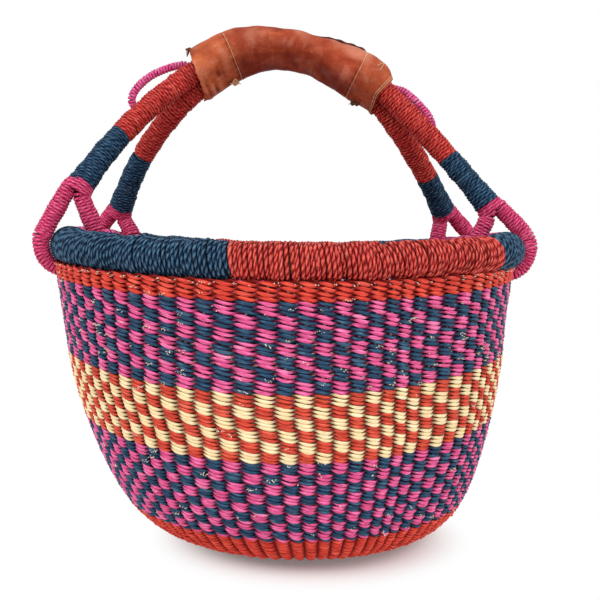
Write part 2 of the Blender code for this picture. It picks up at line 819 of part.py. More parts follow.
def fullness_along(line, path):
    """How full the leather is at points that run along the grip's line."""
    places = [place for place, drop in GRIP_LINE_SHARES]
    spots = np.interp(path[:, 0], line[:, 0], np.linspace(-1, 1, len(line)))
    ranks = np.interp(spots, np.linspace(-1, 1, len(places)), places)
    return np.interp(ranks, places, GRIP_FULLNESS_SHARES)


def shape_grip(mesh, path, radii):
    """Gives a round tube along the grip the long section that lies slantwise over both hoops."""
    normals = upward_normals(path)
    slants = np.arcsin(hoop_drops(len(path)) / hoops_apart())
    for vertex in mesh.vertices:
        place = np.array(vertex.co)
        nearest = int(np.argmin(np.linalg.norm(path - place, axis=1)))
        offset = (place - path[nearest]) / GRIP_RADIUS
        side, top = offset[1], np.dot(offset, normals[nearest])
        over_hoop = hoops_apart() / 2 * np.sign(side) * (abs(side) > CLEARANCE)
        across = radii[nearest] * side + over_hoop
        slant = slants[nearest]
        up = radii[nearest] * top * math.cos(slant) - across * math.sin(slant)
        back = across * math.cos(slant) + radii[nearest] * top * math.sin(slant)
        vertex.co = path[nearest] + normals[nearest] * up + np.array([0, back, 0])


def strand_on_leg(foot, at, turn, radius):
    """A point of a strand that lies on a leg, turned back from the leg's upper side."""
    hoop = along_hoop(foot)[0]
    spot, ahead = stretch(hoop, at, at + STRAND_RADIUS)[[0, -1]]
    climb = unit(ahead - spot)
    behind = unit(np.array([0, 1.0, 0]) - climb * climb[1])
    above = np.cross(behind, climb)
    above *= math.copysign(1, above[2])
    angle = math.radians(turn)
    reach = LEG_RADIUS + radius + SEAT_GAP
    return spot + reach * (math.cos(angle) * above + math.sin(angle) * behind)


def make_strands(parts):
    """The thin wrapped strand at each end of the grip, tucked in behind the front leg."""
    inside = BINDING_INSET / 2
    first, last = LEFT_STRAND_TURNS
    leg = along_hoop("front_left")[1]
    start = strand_on_leg("front_left", leg + inside, first, STRAND_END_RADIUS)
    mouth = strand_on_leg("front_left", leg, first, STRAND_END_RADIUS)
    tuck = strand_on_leg("front_left", leg * LEFT_TUCK_SHARE, last, STRAND_RADIUS)
    chord = tuck - mouth
    span = np.linalg.norm(chord)
    lift = unit(np.array([0, 0, 1.0]) - unit(chord) * unit(chord)[2])
    bowed = [mouth + chord * way + lift * bow * span for way, bow in LEFT_STRAND_SHARES]
    left = [start, mouth, *bowed, tuck]

    leg = along_hoop("front_right")[1]
    stops = np.linspace(leg, leg * RIGHT_TUCK_SHARE, len(RIGHT_STRAND_TURNS))
    rows = [(leg + inside, RIGHT_STRAND_TURNS[0]), *zip(stops, RIGHT_STRAND_TURNS)]
    right = []
    for at, turn in rows:
        thin = at > leg - STRAND_RADIUS
        radius = STRAND_END_RADIUS if thin else STRAND_RADIUS
        right.append(strand_on_leg("front_right", at, turn, radius))
    for name, points in (("left_loop_strand", left), ("right_loop_strand", right)):
        path = resampled(smooth_path(points, PATH_STEPS), 16)
        past = lengths_along(path) - inside
        swell = np.clip(past / (2 * STRAND_RADIUS), 0, 1) * (STRAND_RADIUS - STRAND_END_RADIUS)
        shares = (STRAND_END_RADIUS + swell) / STRAND_RADIUS
        strand = tube(name, path, STRAND_RADIUS, parts, 1, shares)
        finish(replace_by_mesh(strand, name, parts), "pink")


def main():
    clear_scene()
    parts = make_collection("bolga_basket")
    cutters = make_collection("cutters")
    make_bowl(parts)
    make_rim(parts)
    make_hoops(parts)
    make_leg_wraps(parts)
    make_branches(parts, cutters)
    make_fork_collars(parts)
    make_grip(parts, cutters)
    make_strands(parts)


main()
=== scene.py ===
"""The dressed look of a bolga basket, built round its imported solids.

The bowl is twined row by row over upright stakes, the rim, the legs and their forks are
wound with two-ply straw, and a leather sheet is rolled and tied round both hoops.
Everything is in metres in the frame of the CAD: +Z up, -Y to the front, the base at Z 0.
"""

import logging
import math
from dataclasses import dataclass, field
from enum import Enum
from typing import Callable, Sequence

import bpy
import numpy as np
from mathutils import Matrix, Vector


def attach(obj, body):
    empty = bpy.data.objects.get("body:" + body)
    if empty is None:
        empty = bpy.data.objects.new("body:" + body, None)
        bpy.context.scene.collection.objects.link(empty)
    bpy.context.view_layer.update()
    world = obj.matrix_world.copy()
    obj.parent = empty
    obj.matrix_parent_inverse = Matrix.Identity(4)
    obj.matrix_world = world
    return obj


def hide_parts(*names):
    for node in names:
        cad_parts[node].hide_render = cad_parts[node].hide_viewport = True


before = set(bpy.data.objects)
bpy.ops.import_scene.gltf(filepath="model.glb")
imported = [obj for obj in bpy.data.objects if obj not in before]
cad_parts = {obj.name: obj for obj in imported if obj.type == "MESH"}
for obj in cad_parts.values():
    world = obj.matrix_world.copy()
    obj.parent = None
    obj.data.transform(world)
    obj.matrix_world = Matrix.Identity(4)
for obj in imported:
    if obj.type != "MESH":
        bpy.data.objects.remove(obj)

LOG = logging.getLogger("basket")
BODY = "root"
FULL_TURN = 2 * math.pi
CENTIMETRES = 100.0
PICTURE_SIZE = 600
SENSOR_WIDTH = 36.0
WHITE = (1.0, 1.0, 1.0, 1.0)
TONE_SPREAD = 0.13
WIDTH_SPREAD = 0.07

Rgb = tuple[float, float, float]
Reach = Callable[[np.ndarray, np.ndarray], np.ndarray]
Source = bpy.types.NodeSocket | float | Rgb


class Cord(Enum):
    """How straw is made up.

    Each holds the lay of its plies in centimetres, how dark the painted shade in the grooves
    between them is, which also sets the painted highlight on their crests, how dark the
    painted shade in the gaps beside the straw is, and how far the plies stand up.
    """

    FLAT = (None, 0.0, 0.0, 0.0)
    SINGLE = (None, 0.0, 0.85, 0.0)
    FINE = (1.05, 0.42, 0.74, 0.0005)
    COARSE = (1.08, 0.76, 0.78, 0.0010)


class Straw(Enum):
    """The dyes of the straw, and the undyed straw of the ends."""

    RED = "red"
    ORANGE = "orange"
    BLUE = "blue"
    PINK = "pink"
    ROSE = "rose"
    CREAM = "cream"
    CHECK_RED = "check_red"
    UNDYED = "undyed"


def unit(vectors: np.ndarray) -> np.ndarray:
    """Vectors of length one along the last axis."""
    return vectors / np.linalg.norm(vectors, axis=-1, keepdims=True)


def smooth_route(knots: Sequence, steps: int = 12) -> np.ndarray:
    """Draws the Catmull-Rom curve through some knots.

    Args:
        knots: The points that the route passes through.
        steps: Points for each span between two knots.

    Returns:
        The points of the route, the last knot included.
    """
    held = np.array([knots[0], *knots, knots[-1]], float)
    held[0] = 2 * held[1] - held[2]
    held[-1] = 2 * held[-2] - held[-3]
    way = (np.arange(steps) / steps)[:, None]
    spans = []
    for a, b, c, d in zip(held, held[1:], held[2:], held[3:]):
        cubic = (3 * b - a - 3 * c + d) * way**3
        square = (2 * a - 5 * b + 4 * c - d) * way**2
        spans.append((cubic + square + (c - a) * way + 2 * b) / 2)
    return np.vstack([*spans, held[-2][None]])


def lengths_along(route: np.ndarray) -> np.ndarray:
    """The length from a route's start to each of its points."""
    return np.concatenate([[0], np.cumsum(np.linalg.norm(np.diff(route, axis=0), axis=1))])


def read(lengths: np.ndarray, rows: np.ndarray, along: np.ndarray) -> np.ndarray:
    """The rows that belong to given lengths, read between those of a table."""
    return np.stack([np.interp(along, lengths, column) for column in rows.T], axis=-1)


def sampled(route: np.ndarray, along: np.ndarray) -> np.ndarray:
    """The points of a route at given lengths along it."""
    return read(lengths_along(route), route, along)


def resampled(
    route: np.ndarray, count: int, start: float = 0.0, end: float | None = None
) -> np.ndarray:
    """Spaces points evenly along a route.

    Args:
        route: The points to follow.
        count: How many points to return.
        start: The length along the route of the first one.
        end: The length of the last one, or None for the route's end.

    Returns:
        The evenly spaced points.
    """
    last = lengths_along(route)[-1] if end is None else end
    return sampled(route, np.linspace(start, last, count))


def hump(away: np.ndarray, wide: float) -> np.ndarray:
    """A smooth hump of height 1 over places some way from its middle."""
    return np.exp(-((away / wide) ** 2))


def eased(share: np.ndarray) -> np.ndarray:
    """A share from 0 to 1 that starts and stops gently."""
    held = np.clip(share, 0, 1)
    return held * held * (3 - 2 * held)


class Spine:
    """A middle line with a frame that is carried along it without twist."""

    def __init__(self, route: np.ndarray, lean: Sequence[float]) -> None:
        """Carries a frame along a route.

        Args:
            route: The points of the middle line.
            lean: A direction that the first side vector comes nearest to.
        """
        self.route = route
        self.lengths = lengths_along(route)
        self.tangents = unit(np.gradient(route, axis=0))
        side = np.array(lean, float)
        sides = []
        for tangent in self.tangents:
            side = unit(side - tangent * np.dot(side, tangent))
            sides.append(side)
        self.sides = np.array(sides)
        self.overs = np.cross(self.tangents, self.sides)

    @property
    def length(self) -> float:
        """The whole length of the middle line."""
        return float(self.lengths[-1])

    def at(self, along: np.ndarray) -> tuple[np.ndarray, np.ndarray, np.ndarray, np.ndarray]:
        """Reads the frame at some lengths.

        Args:
            along: Lengths from the start of the middle line.

        Returns:
            The centres, the tangents, the side vectors and the vectors over them.
        """
        kinds = (self.route, self.tangents, self.sides, self.overs)
        centres, *frame_vectors = (read(self.lengths, kind, along) for kind in kinds)
        before = np.minimum(along, 0)[:, None] * self.tangents[0]
        after = np.maximum(along - self.length, 0)[:, None] * self.tangents[-1]
        return centres + before + after, *(unit(vectors) for vectors in frame_vectors)


def note(mesh: bpy.types.Mesh, name: str, values: np.ndarray) -> None:
    """Writes one number for each point of a mesh."""
    attribute = mesh.attributes.new(name, "FLOAT", "POINT")
    attribute.data.foreach_set("value", values.astype(np.float32))


class StrawMesh:
    """Gathers tubes of straw into one mesh, with UVs along each straw and its tone."""

    def __init__(self, sides: int = 6) -> None:
        """Starts an empty mesh.

        Args:
            sides: How many sides its tubes have, 4 or 6.
        """
        self.sides = sides
        self.count = 0
        self.places: list[np.ndarray] = []
        self.quads: list[np.ndarray] = []
        self.maps: list[np.ndarray] = []
        self.tones: list[np.ndarray] = []
        self.shades: list[np.ndarray] = []

    def add(
        self,
        centres: np.ndarray,
        across: np.ndarray,
        outward: np.ndarray,
        half_across: np.ndarray | float,
        half_outward: np.ndarray | float,
        tone: np.ndarray | float,
        shade: np.ndarray | float = 1.0,
        closed: bool = False,
    ) -> None:
        """Adds one tube with an oval section.

        Args:
            centres: The points of the tube's middle line.
            across: The unit vectors across the tube.
            outward: The unit vectors towards the side that shows.
            half_across: Half the tube's width along the vectors across.
            half_outward: Half its thickness along the outward vectors.
            tone: The tone of the straw at each point, from 0 to 1.
            shade: How open to the light each point or each of its corners is, from 0 to 1, for the
                finish's painted shade.
            closed: Whether the tube is a ring.
        """
        count, sides = len(centres), self.sides
        wide = np.broadcast_to(half_across, count)[:, None, None]
        thick = np.broadcast_to(half_outward, count)[:, None, None]
        angles = (FULL_TURN * np.arange(sides) / sides)[None, :, None]
        upwards = np.cos(angles) * thick * outward[:, None]
        sideways = np.sin(angles) * wide * across[:, None]
        rings = centres[:, None] + upwards + sideways
        self.places.append(rings.reshape(-1, 3))
        self.tones.append(np.repeat(np.broadcast_to(tone, count), sides))
        corners = shade if np.ndim(shade) == 2 else np.reshape(shade, (-1, 1))
        self.shades.append(np.broadcast_to(corners, (count, sides)).ravel())

        spans = count if closed else count - 1
        first = np.repeat(np.arange(spans), sides)
        second = (first + 1) % count
        corner = np.tile(np.arange(sides), spans)
        following = (corner + 1) % sides
        loop = ((first, corner), (first, following), (second, following), (second, corner))
        quads = np.stack([ring * sides + spot for ring, spot in loop], axis=1)
        steps = np.linalg.norm(np.roll(centres, -1, axis=0) - centres, axis=1)
        shift = float(np.mean(tone)) * CENTIMETRES
        reach = np.concatenate([[0], np.cumsum(steps)]) * CENTIMETRES + shift
        low, high = reach[first], reach[first + 1]
        near, far = corner / sides, (corner + 1) / sides
        square = ((low, near), (low, far), (high, far), (high, near))
        maps = np.stack([np.stack(spot, 1) for spot in square], axis=1)
        if not closed:
            fan = np.array([[0, 1, 2, 3], [0, 3, 4, 5]] if sides == 6 else [[0, 1, 2, 3]])
            last = fan + (count - 1) * sides
            quads = np.vstack([quads, fan[:, ::-1], last])
            caps = np.zeros((2 * len(fan), 4, 2))
            caps[..., 0] = reach[0]
            maps = np.vstack([maps, caps])
        if np.dot(np.cross(outward[0], across[0]), centres[1] - centres[0]) < 0:
            quads, maps = quads[:, ::-1], maps[:, ::-1]
        self.quads.append(quads + self.count)
        self.maps.append(maps)
        self.count += count * sides

    def piece(self, name: str, material: bpy.types.Material) -> bpy.types.Object:
        """Makes the gathered tubes one object.

        Args:
            name: The name of the piece.
            material: The finish of its straw.

        Returns:
            The new object, linked to the scene.
        """
        quads = np.vstack(self.quads).astype(np.int32)
        mesh = bpy.data.meshes.new(name)
        mesh.vertices.add(self.count)
        mesh.vertices.foreach_set("co", np.vstack(self.places).astype(np.float32).ravel())
        mesh.loops.add(quads.size)
        mesh.loops.foreach_set("vertex_index", quads.ravel())
        mesh.polygons.add(len(quads))
        mesh.polygons.foreach_set("loop_start", np.arange(0, quads.size, 4, dtype=np.int32))
        mesh.update(calc_edges=True)
        layer = mesh.uv_layers.new(name=StrawFinish.UV_MAP)
        layer.uv.foreach_set("vector", np.vstack(self.maps).astype(np.float32).ravel())
        note(mesh, "tone", np.concatenate(self.tones))
        note(mesh, "shade", np.concatenate(self.shades))
        mesh.shade_smooth()
        mesh.materials.append(material)
        piece = bpy.data.objects.new(name, mesh)
        bpy.context.scene.collection.objects.link(piece)
        return piece


class Nodes:
    """Builds the nodes of one tree."""

    def __init__(self, tree: bpy.types.NodeTree) -> None:
        """Takes the tree that the nodes go into."""
        self.tree = tree

    def node(self, kind: str, inputs: dict | None = None, **settings: str) -> bpy.types.Node:
        """Adds a node.

        Args:
            kind: The node's type.
            inputs: What each input holds: a value, or the output that feeds it.
            settings: The node's own settings.

        Returns:
            The new node.
        """
        made = self.tree.nodes.new(kind)
        for name, value in settings.items():
            setattr(made, name, value)
        for name, value in (inputs or {}).items():
            self.feed(made.inputs[name], value)
        return made

    def feed(self, socket: bpy.types.NodeSocket, value: Source) -> None:
        """Gives an input a value of its own, or the output that feeds it.

        Args:
            socket: The input.
            value: The value or the output.
        """
        if isinstance(value, bpy.types.NodeSocket):
            self.tree.links.new(value, socket)
        else:
            socket.default_value = value

    def seen_by(self, *kinds: str) -> bpy.types.NodeSocket:
        """Tells the named kinds of rays from all others.

        Args:
            kinds: The light path's outputs for those rays.

        Returns:
            The output that is 1 for them and 0 for the others.
        """
        rays = self.node("ShaderNodeLightPath").outputs
        seen = rays[kinds[0]]
        for kind in kinds[1:]:
            seen = self.maths("MAXIMUM", seen, rays[kind])
        return seen

    def show(self, output: str, share: Source, first: Source, second: Source) -> None:
        """Sends a blend of two shaders to the tree's own output."""
        blend = self.node("ShaderNodeMixShader", {0: share, 1: first, 2: second}).outputs[0]
        self.tree.links.new(blend, self.tree.nodes[output].inputs[0])

    def maths(self, operation: str, *values: Source) -> bpy.types.NodeSocket:
        """The result of a sum on up to three values or outputs."""
        return self.node("ShaderNodeMath", dict(enumerate(values)), operation=operation).outputs[0]


class Shading(Nodes):
    """Builds the nodes of one material."""

    def __init__(self, name: str) -> None:
        """Starts a material with its own shader.

        Args:
            name: The name of the material.
        """
        self.material = bpy.data.materials.new(name)
        self.material.use_nodes = True
        super().__init__(self.material.node_tree)
        self.shader = self.tree.nodes["Principled BSDF"]

    def attribute(self, name: str) -> bpy.types.NodeSocket:
        """The factor of one of the mesh's own attributes."""
        return self.node("ShaderNodeAttribute", attribute_name=name).outputs["Fac"]

    def combined(self, x: Source, y: Source, z: Source) -> bpy.types.NodeSocket:
        """A vector made of three values or outputs."""
        return self.node("ShaderNodeCombineXYZ", {0: x, 1: y, 2: z}).outputs[0]

    def scaled(self, place: bpy.types.NodeSocket, scales: Rgb) -> bpy.types.NodeSocket:
        """A place whose three measures are scaled, each in its own way."""
        ends = {0: place, 1: scales}
        return self.node("ShaderNodeVectorMath", ends, operation="MULTIPLY").outputs[0]

    def noise(
        self, place: bpy.types.NodeSocket, scale: float, detail: float = 2.0, roughness: float = 0.5
    ) -> bpy.types.NodeSocket:
        """The factor of a noise at some place."""
        inputs = {"Vector": place, "Scale": scale, "Detail": detail, "Roughness": roughness}
        return self.node("ShaderNodeTexNoise", inputs).outputs[0]

    def mixed(self, share: Source, first: Source, second: Source) -> bpy.types.NodeSocket:
        """Mixes two colours.

        Args:
            share: How much of the second one shows.
            first: A colour, or the output that gives it.
            second: The other colour.

        Returns:
            The mixed colour.
        """
        made = self.node("ShaderNodeMix", data_type="RGBA", blend_type="MIX")
        self.feed(made.inputs[0], share)
        for spot, colour in ((6, first), (7, second)):
            self.feed(made.inputs[spot], (*colour, 1.0) if isinstance(colour, tuple) else colour)
        return made.outputs[2]

    def ranged(
        self, value: Source, low: float, high: float, new_low: float, new_high: float
    ) -> bpy.types.NodeSocket:
        """A value carried smoothly from one range to another."""
        inputs = {0: value, 1: low, 2: high, 3: new_low, 4: new_high}
        return self.node("ShaderNodeMapRange", inputs, interpolation_type="SMOOTHSTEP").outputs[0]

    def layered(self, colour: Source, *layers: tuple[Source, Sequence[float], Source]) -> Source:
        """Lays colours one over another.

        Args:
            colour: The lowest colour.
            layers: For each layer a value, the ranges that make it a share, and a colour.

        Returns:
            The colour that shows.
        """
        for value, ranges, over in layers:
            colour = self.mixed(self.ranged(value, *ranges), colour, over)
        return colour

    def bump(
        self,
        height: Source,
        distance: float,
        strength: float,
        under: bpy.types.NodeSocket | None = None,
    ) -> bpy.types.NodeSocket:
        """The normal of a surface with a pattern raised on it.

        Args:
            height: The pattern's height, from 0 to 1.
            distance: How high 1 stands, in metres.
            strength: How much of it shows.
            under: The normal that it is raised on, if there is one.

        Returns:
            The new normal.
        """
        inputs = {"Height": height, "Distance": distance, "Strength": strength}
        if under is not None:
            inputs["Normal"] = under
        return self.node("ShaderNodeBump", inputs).outputs[0]

    def set(self, **inputs: Source) -> None:
        """Feeds the shader's own inputs, with spaces in their names as underscores."""
        for name, value in inputs.items():
            self.feed(self.shader.inputs[name.replace("_", " ")], value)


@dataclass(frozen=True)
class StrawFinish:
    """Dyed straw: fibres along each straw, a tone of its own, the lay of its plies, and painted
    shade and highlights.
    """

    UV_MAP = "Straw"
    FIBRE_SCALES = (1.1, 11.0, 40.0)
    PATCH_SCALES = (0.9, 1.0, 9.0)
    PAINTED_SHADE_FACTOR = 0.32
    PLIES = 3

    name: str
    dark: Rgb
    base: Rgb
    light: Rgb
    cord: Cord = Cord.FLAT
    roughness: float = 0.52

    def material(self) -> bpy.types.Material:
        """Builds the finish from the straw's own UVs and attributes.

        Returns:
            The procedural material.
        """
        made = Shading(self.name)
        unrolled = made.node("ShaderNodeUVMap", uv_map=self.UV_MAP).outputs[0]
        apart = made.node("ShaderNodeSeparateXYZ", {0: unrolled})
        along, around = apart.outputs[0], apart.outputs[1]
        tone, shade = made.attribute("tone"), made.attribute("shade")
        spot = made.combined(along, around, tone)
        fibre = made.noise(made.scaled(spot, self.FIBRE_SCALES), 1.0, 3.0, 0.6)
        patch = made.noise(made.scaled(spot, self.PATCH_SCALES), 1.0)
        # A darkened copy of the dark dye, used as painted shade.
        painted_shade = tuple(self.PAINTED_SHADE_FACTOR * part for part in self.dark)
        colour = made.layered(
            self.dark,
            (fibre, (0.34, 0.66, 0.0, 1.0), self.base),
            (fibre, (0.54, 0.76, 0.0, 0.85), self.light),
            (tone, (0.0, 0.5, 0.45, 0.0), self.dark),
            (tone, (0.55, 1.0, 0.0, 0.42), self.light),
            (patch, (0.56, 0.75, 0.0, 0.35), self.light),
            # painted shade where the shade attribute says little light reaches
            (shade, (0.0, 1.0, 0.85, 0.0), painted_shade),
        )
        height, depth = fibre, 0.00016
        lay, groove_shading, gap, rise = self.cord.value
        if lay is not None:
            turn = made.maths("MULTIPLY", around, self.PLIES / 2 * FULL_TURN)
            turn = made.maths("MULTIPLY_ADD", along, FULL_TURN / lay, turn)
            turn = made.maths("MULTIPLY_ADD", patch, 4.0, turn)
            ply = made.maths("ABSOLUTE", made.maths("SINE", turn))
            # Painted shade in the grooves between the plies and a painted highlight on their
            # crests.
            grooves = (ply, (0.0, 0.62, groove_shading, 0.0), painted_shade)
            crest_highlights = (ply, (0.66, 1.0, 0.0, 0.50 * groove_shading), self.light)
            colour = made.layered(colour, grooves, crest_highlights)
            height = made.maths("MULTIPLY_ADD", fibre, 0.22, made.maths("POWER", ply, 0.6))
            depth = rise
        facing = made.maths("COSINE", made.maths("MULTIPLY", around, FULL_TURN))
        # Painted shade on the sides of wound straws, in the gaps where turns meet.
        if gap > 0:
            colour = made.layered(colour, (facing, (0.50, 0.96, gap, 0.0), painted_shade))
        else:
            # Painted highlight on the outward crown of flat stitches, where light falls.
            crown_highlight = made.maths("MULTIPLY", made.ranged(facing, 0.35, 1.0, 0.0, 0.12), shade)
            colour = made.mixed(crown_highlight, colour, self.light)
        rough = made.ranged(fibre, 0.3, 0.7, self.roughness - 0.10, self.roughness + 0.14)
        normal = made.bump(height, depth, 0.9)
        made.set(Base_Color=colour, Roughness=rough, Normal=normal, Specular_IOR_Level=0.12)
        return made.material


@dataclass(frozen=True)
class GrassFinish:
    """Undyed dry grass, for the bundles inside the rim and the hoops."""

    name: str = "dry_grass"
    dark: Rgb = (0.14, 0.085, 0.035)
    light: Rgb = (0.46, 0.36, 0.17)

    def material(self) -> bpy.types.Material:
        """Builds the finish from noise in the object's own coordinates.

        Returns:
            The procedural material.
        """
        made = Shading(self.name)
        place = made.node("ShaderNodeTexCoord").outputs["Object"]
        stems = made.noise(place, 700.0, 3.0)
        rough, normal = made.ranged(stems, 0.2, 0.8, 0.6, 0.9), made.bump(stems, 0.0005, 0.7)
        colour = made.mixed(stems, self.dark, self.light)
        made.set(Base_Color=colour, Roughness=rough, Normal=normal)
        return made.material


@dataclass(frozen=True)
class LeatherFinish:
    """Worn goat leather, lighter where hands rub it, with painted shade in its folds and on its
    underside and painted highlights on its raised creases.
    """

    PULL = (38.0, 120.0, 150.0)
    PULL_TURN = 0.35
    DULL = 0.78

    name: str = "grip_leather"
    dark: Rgb = (0.170, 0.017, 0.008)
    base: Rgb = (0.430, 0.072, 0.030)
    warm: Rgb = (0.640, 0.158, 0.056)
    pale: Rgb = (0.790, 0.350, 0.230)

    def material(self) -> bpy.types.Material:
        """Builds the finish from noise and from the sheet's own attributes.

        Returns:
            The procedural material.
        """
        made = Shading(self.name)
        place = made.node("ShaderNodeTexCoord").outputs["Object"]
        cloud = made.noise(place, 42.0, 5.0, 0.62)
        pulled = {"Vector": place, "Scale": self.PULL, "Rotation": (0.0, self.PULL_TURN, 0.0)}
        streak = made.noise(made.node("ShaderNodeMapping", pulled).outputs[0], 1.0, 5.0, 0.65)
        cells = {"Vector": place, "Scale": 1150.0}
        grain = made.node("ShaderNodeTexVoronoi", cells, feature="DISTANCE_TO_EDGE").outputs[0]
        pore, mottle = made.noise(place, 620.0, 3.0), made.noise(place, 95.0, 6.0, 0.70)
        worn, fold = made.attribute("worn"), made.attribute("fold")
        colour = made.layered(
            tuple(self.DULL * part for part in self.base),
            (cloud, (0.36, 0.66, 0.0, 1.0), self.base),
            (streak, (0.54, 0.74, 0.0, 0.45), self.warm),
            (streak, (0.30, 0.44, 0.35, 0.0), self.dark),
        )
        rubbed = made.maths("MULTIPLY", worn, made.ranged(cloud, 0.25, 0.60, 0.62, 0.95))
        colour = made.layered(
            made.mixed(rubbed, colour, self.warm),
            (made.maths("MULTIPLY", worn, cloud), (0.46, 0.66, 0.0, 0.22), self.pale),
            (pore, (0.30, 0.42, 0.35, 0.0), self.dark),
        )
        paleness = made.maths("MULTIPLY_ADD", worn, 0.30, 0.20)
        speckled = made.maths("MULTIPLY", made.ranged(mottle, 0.50, 0.70, 0.0, 1.0), paleness)
        colour = made.layered(
            made.mixed(speckled, colour, self.pale),
            (mottle, (0.30, 0.50, 0.46, 0.0), self.dark),
            # painted shade in hollows and on the underside, painted highlight on raised relief
            (fold, (0.0, 1.0, 0.0, 0.74), self.dark),
            (fold, (-1.0, 0.0, 0.40, 0.0), self.pale),
        )
        rough = made.ranged(cloud, 0.3, 0.7, 0.42, 0.62)
        pitted = made.maths("MULTIPLY_ADD", pore, 0.6, grain)
        normal = made.bump(pitted, 0.00022, 0.55, made.bump(streak, 0.0009, 0.45))
        made.set(Base_Color=colour, Roughness=rough, Normal=normal, Specular_IOR_Level=0.09)
        return made.material


WAXED_THREAD = StrawFinish(
    "waxed_thread", (0.46, 0.25, 0.13), (0.76, 0.48, 0.28), (0.90, 0.72, 0.50)
)
DARK_THONG = StrawFinish(
    "dark_thong", (0.08, 0.028, 0.018), (0.24, 0.085, 0.050), (0.42, 0.22, 0.14)
)
DARK_SEAM = StrawFinish("dark_seam", (0.05, 0.012, 0.008), (0.13, 0.030, 0.016), (0.28, 0.09, 0.05))


class Dyes:
    """The straw finishes, each made once."""

    COLOURS = {
        Straw.RED: ((0.26, 0.006, 0.007), (0.84, 0.042, 0.036), (0.96, 0.260, 0.200)),
        Straw.ORANGE: ((0.42, 0.011, 0.009), (0.93, 0.068, 0.041), (1.0, 0.270, 0.175)),
        Straw.BLUE: ((0.001, 0.012, 0.045), (0.007, 0.055, 0.132), (0.160, 0.325, 0.460)),
        Straw.PINK: ((0.50, 0.020, 0.130), (0.98, 0.130, 0.420), (1.0, 0.480, 0.730)),
        Straw.ROSE: ((0.48, 0.010, 0.075), (0.97, 0.075, 0.270), (1.0, 0.320, 0.500)),
        Straw.CREAM: ((0.84, 0.60, 0.27), (1.0, 0.92, 0.55), (1.0, 0.98, 0.80)),
        Straw.CHECK_RED: ((0.36, 0.012, 0.008), (0.83, 0.076, 0.038), (0.98, 0.300, 0.190)),
        Straw.UNDYED: ((0.72, 0.60, 0.38), (0.98, 0.92, 0.74), (1.0, 0.99, 0.93)),
    }

    def __init__(self) -> None:
        """Starts with no finish made."""
        self.made: dict[tuple[Straw, Cord], bpy.types.Material] = {}

    def get(self, straw: Straw, cord: Cord = Cord.FLAT) -> bpy.types.Material:
        """Fetches a finish.

        Args:
            straw: The dye.
            cord: How the straw is made up.

        Returns:
            The material, made the first time it is asked for.
        """
        key = (straw, cord)
        if key not in self.made:
            name = f"{cord.name.lower()}_{straw.value}_straw"
            self.made[key] = StrawFinish(name, *self.COLOURS[straw], cord).material()
        return self.made[key]


def settle(piece: bpy.types.Object, slot: str, *nodes: str) -> bpy.types.Object:
    """Makes a finished piece ride on the basket in the place of its CAD nodes.

    Args:
        piece: The finished piece.
        slot: The record's material slot for its finish; not used.
        nodes: The CAD nodes that it stands for.

    Returns:
        The same piece.
    """
    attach(piece, BODY)
    if nodes:
        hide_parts(*nodes)
    LOG.info("%s: %d faces", piece.name, len(piece.data.polygons))
    return piece


@dataclass(frozen=True)
class StitchForm:
    """The form of a band's stitches.

    The depth that they swing through and their slant are in metres, their heights are
    shares of a row's pitch, and the darkest painted shade is that of their ends.
    """

    depth: float
    slant: float
    unevenness: float
    end_height: float
    hidden_height: float
    growth: float
    power: float
    darkest: float


SMOOTH = StitchForm(0.0020, 0.00092, 0.07, 0.18, 0.08, 0.38, 1.0, 0.20)
RIBBED = StitchForm(0.0021, 0.00050, 0.13, 0.23, 0.0, 0.26, 0.8, 0.12)


@dataclass(frozen=True)
class Row:
    """One twined row: where it lies on the wall's middle surface, and its stakes."""

    radius: float
    height: float
    outwards: tuple[float, float]
    upwards: tuple[float, float]
    pitch: float
    stakes: int
    along: float


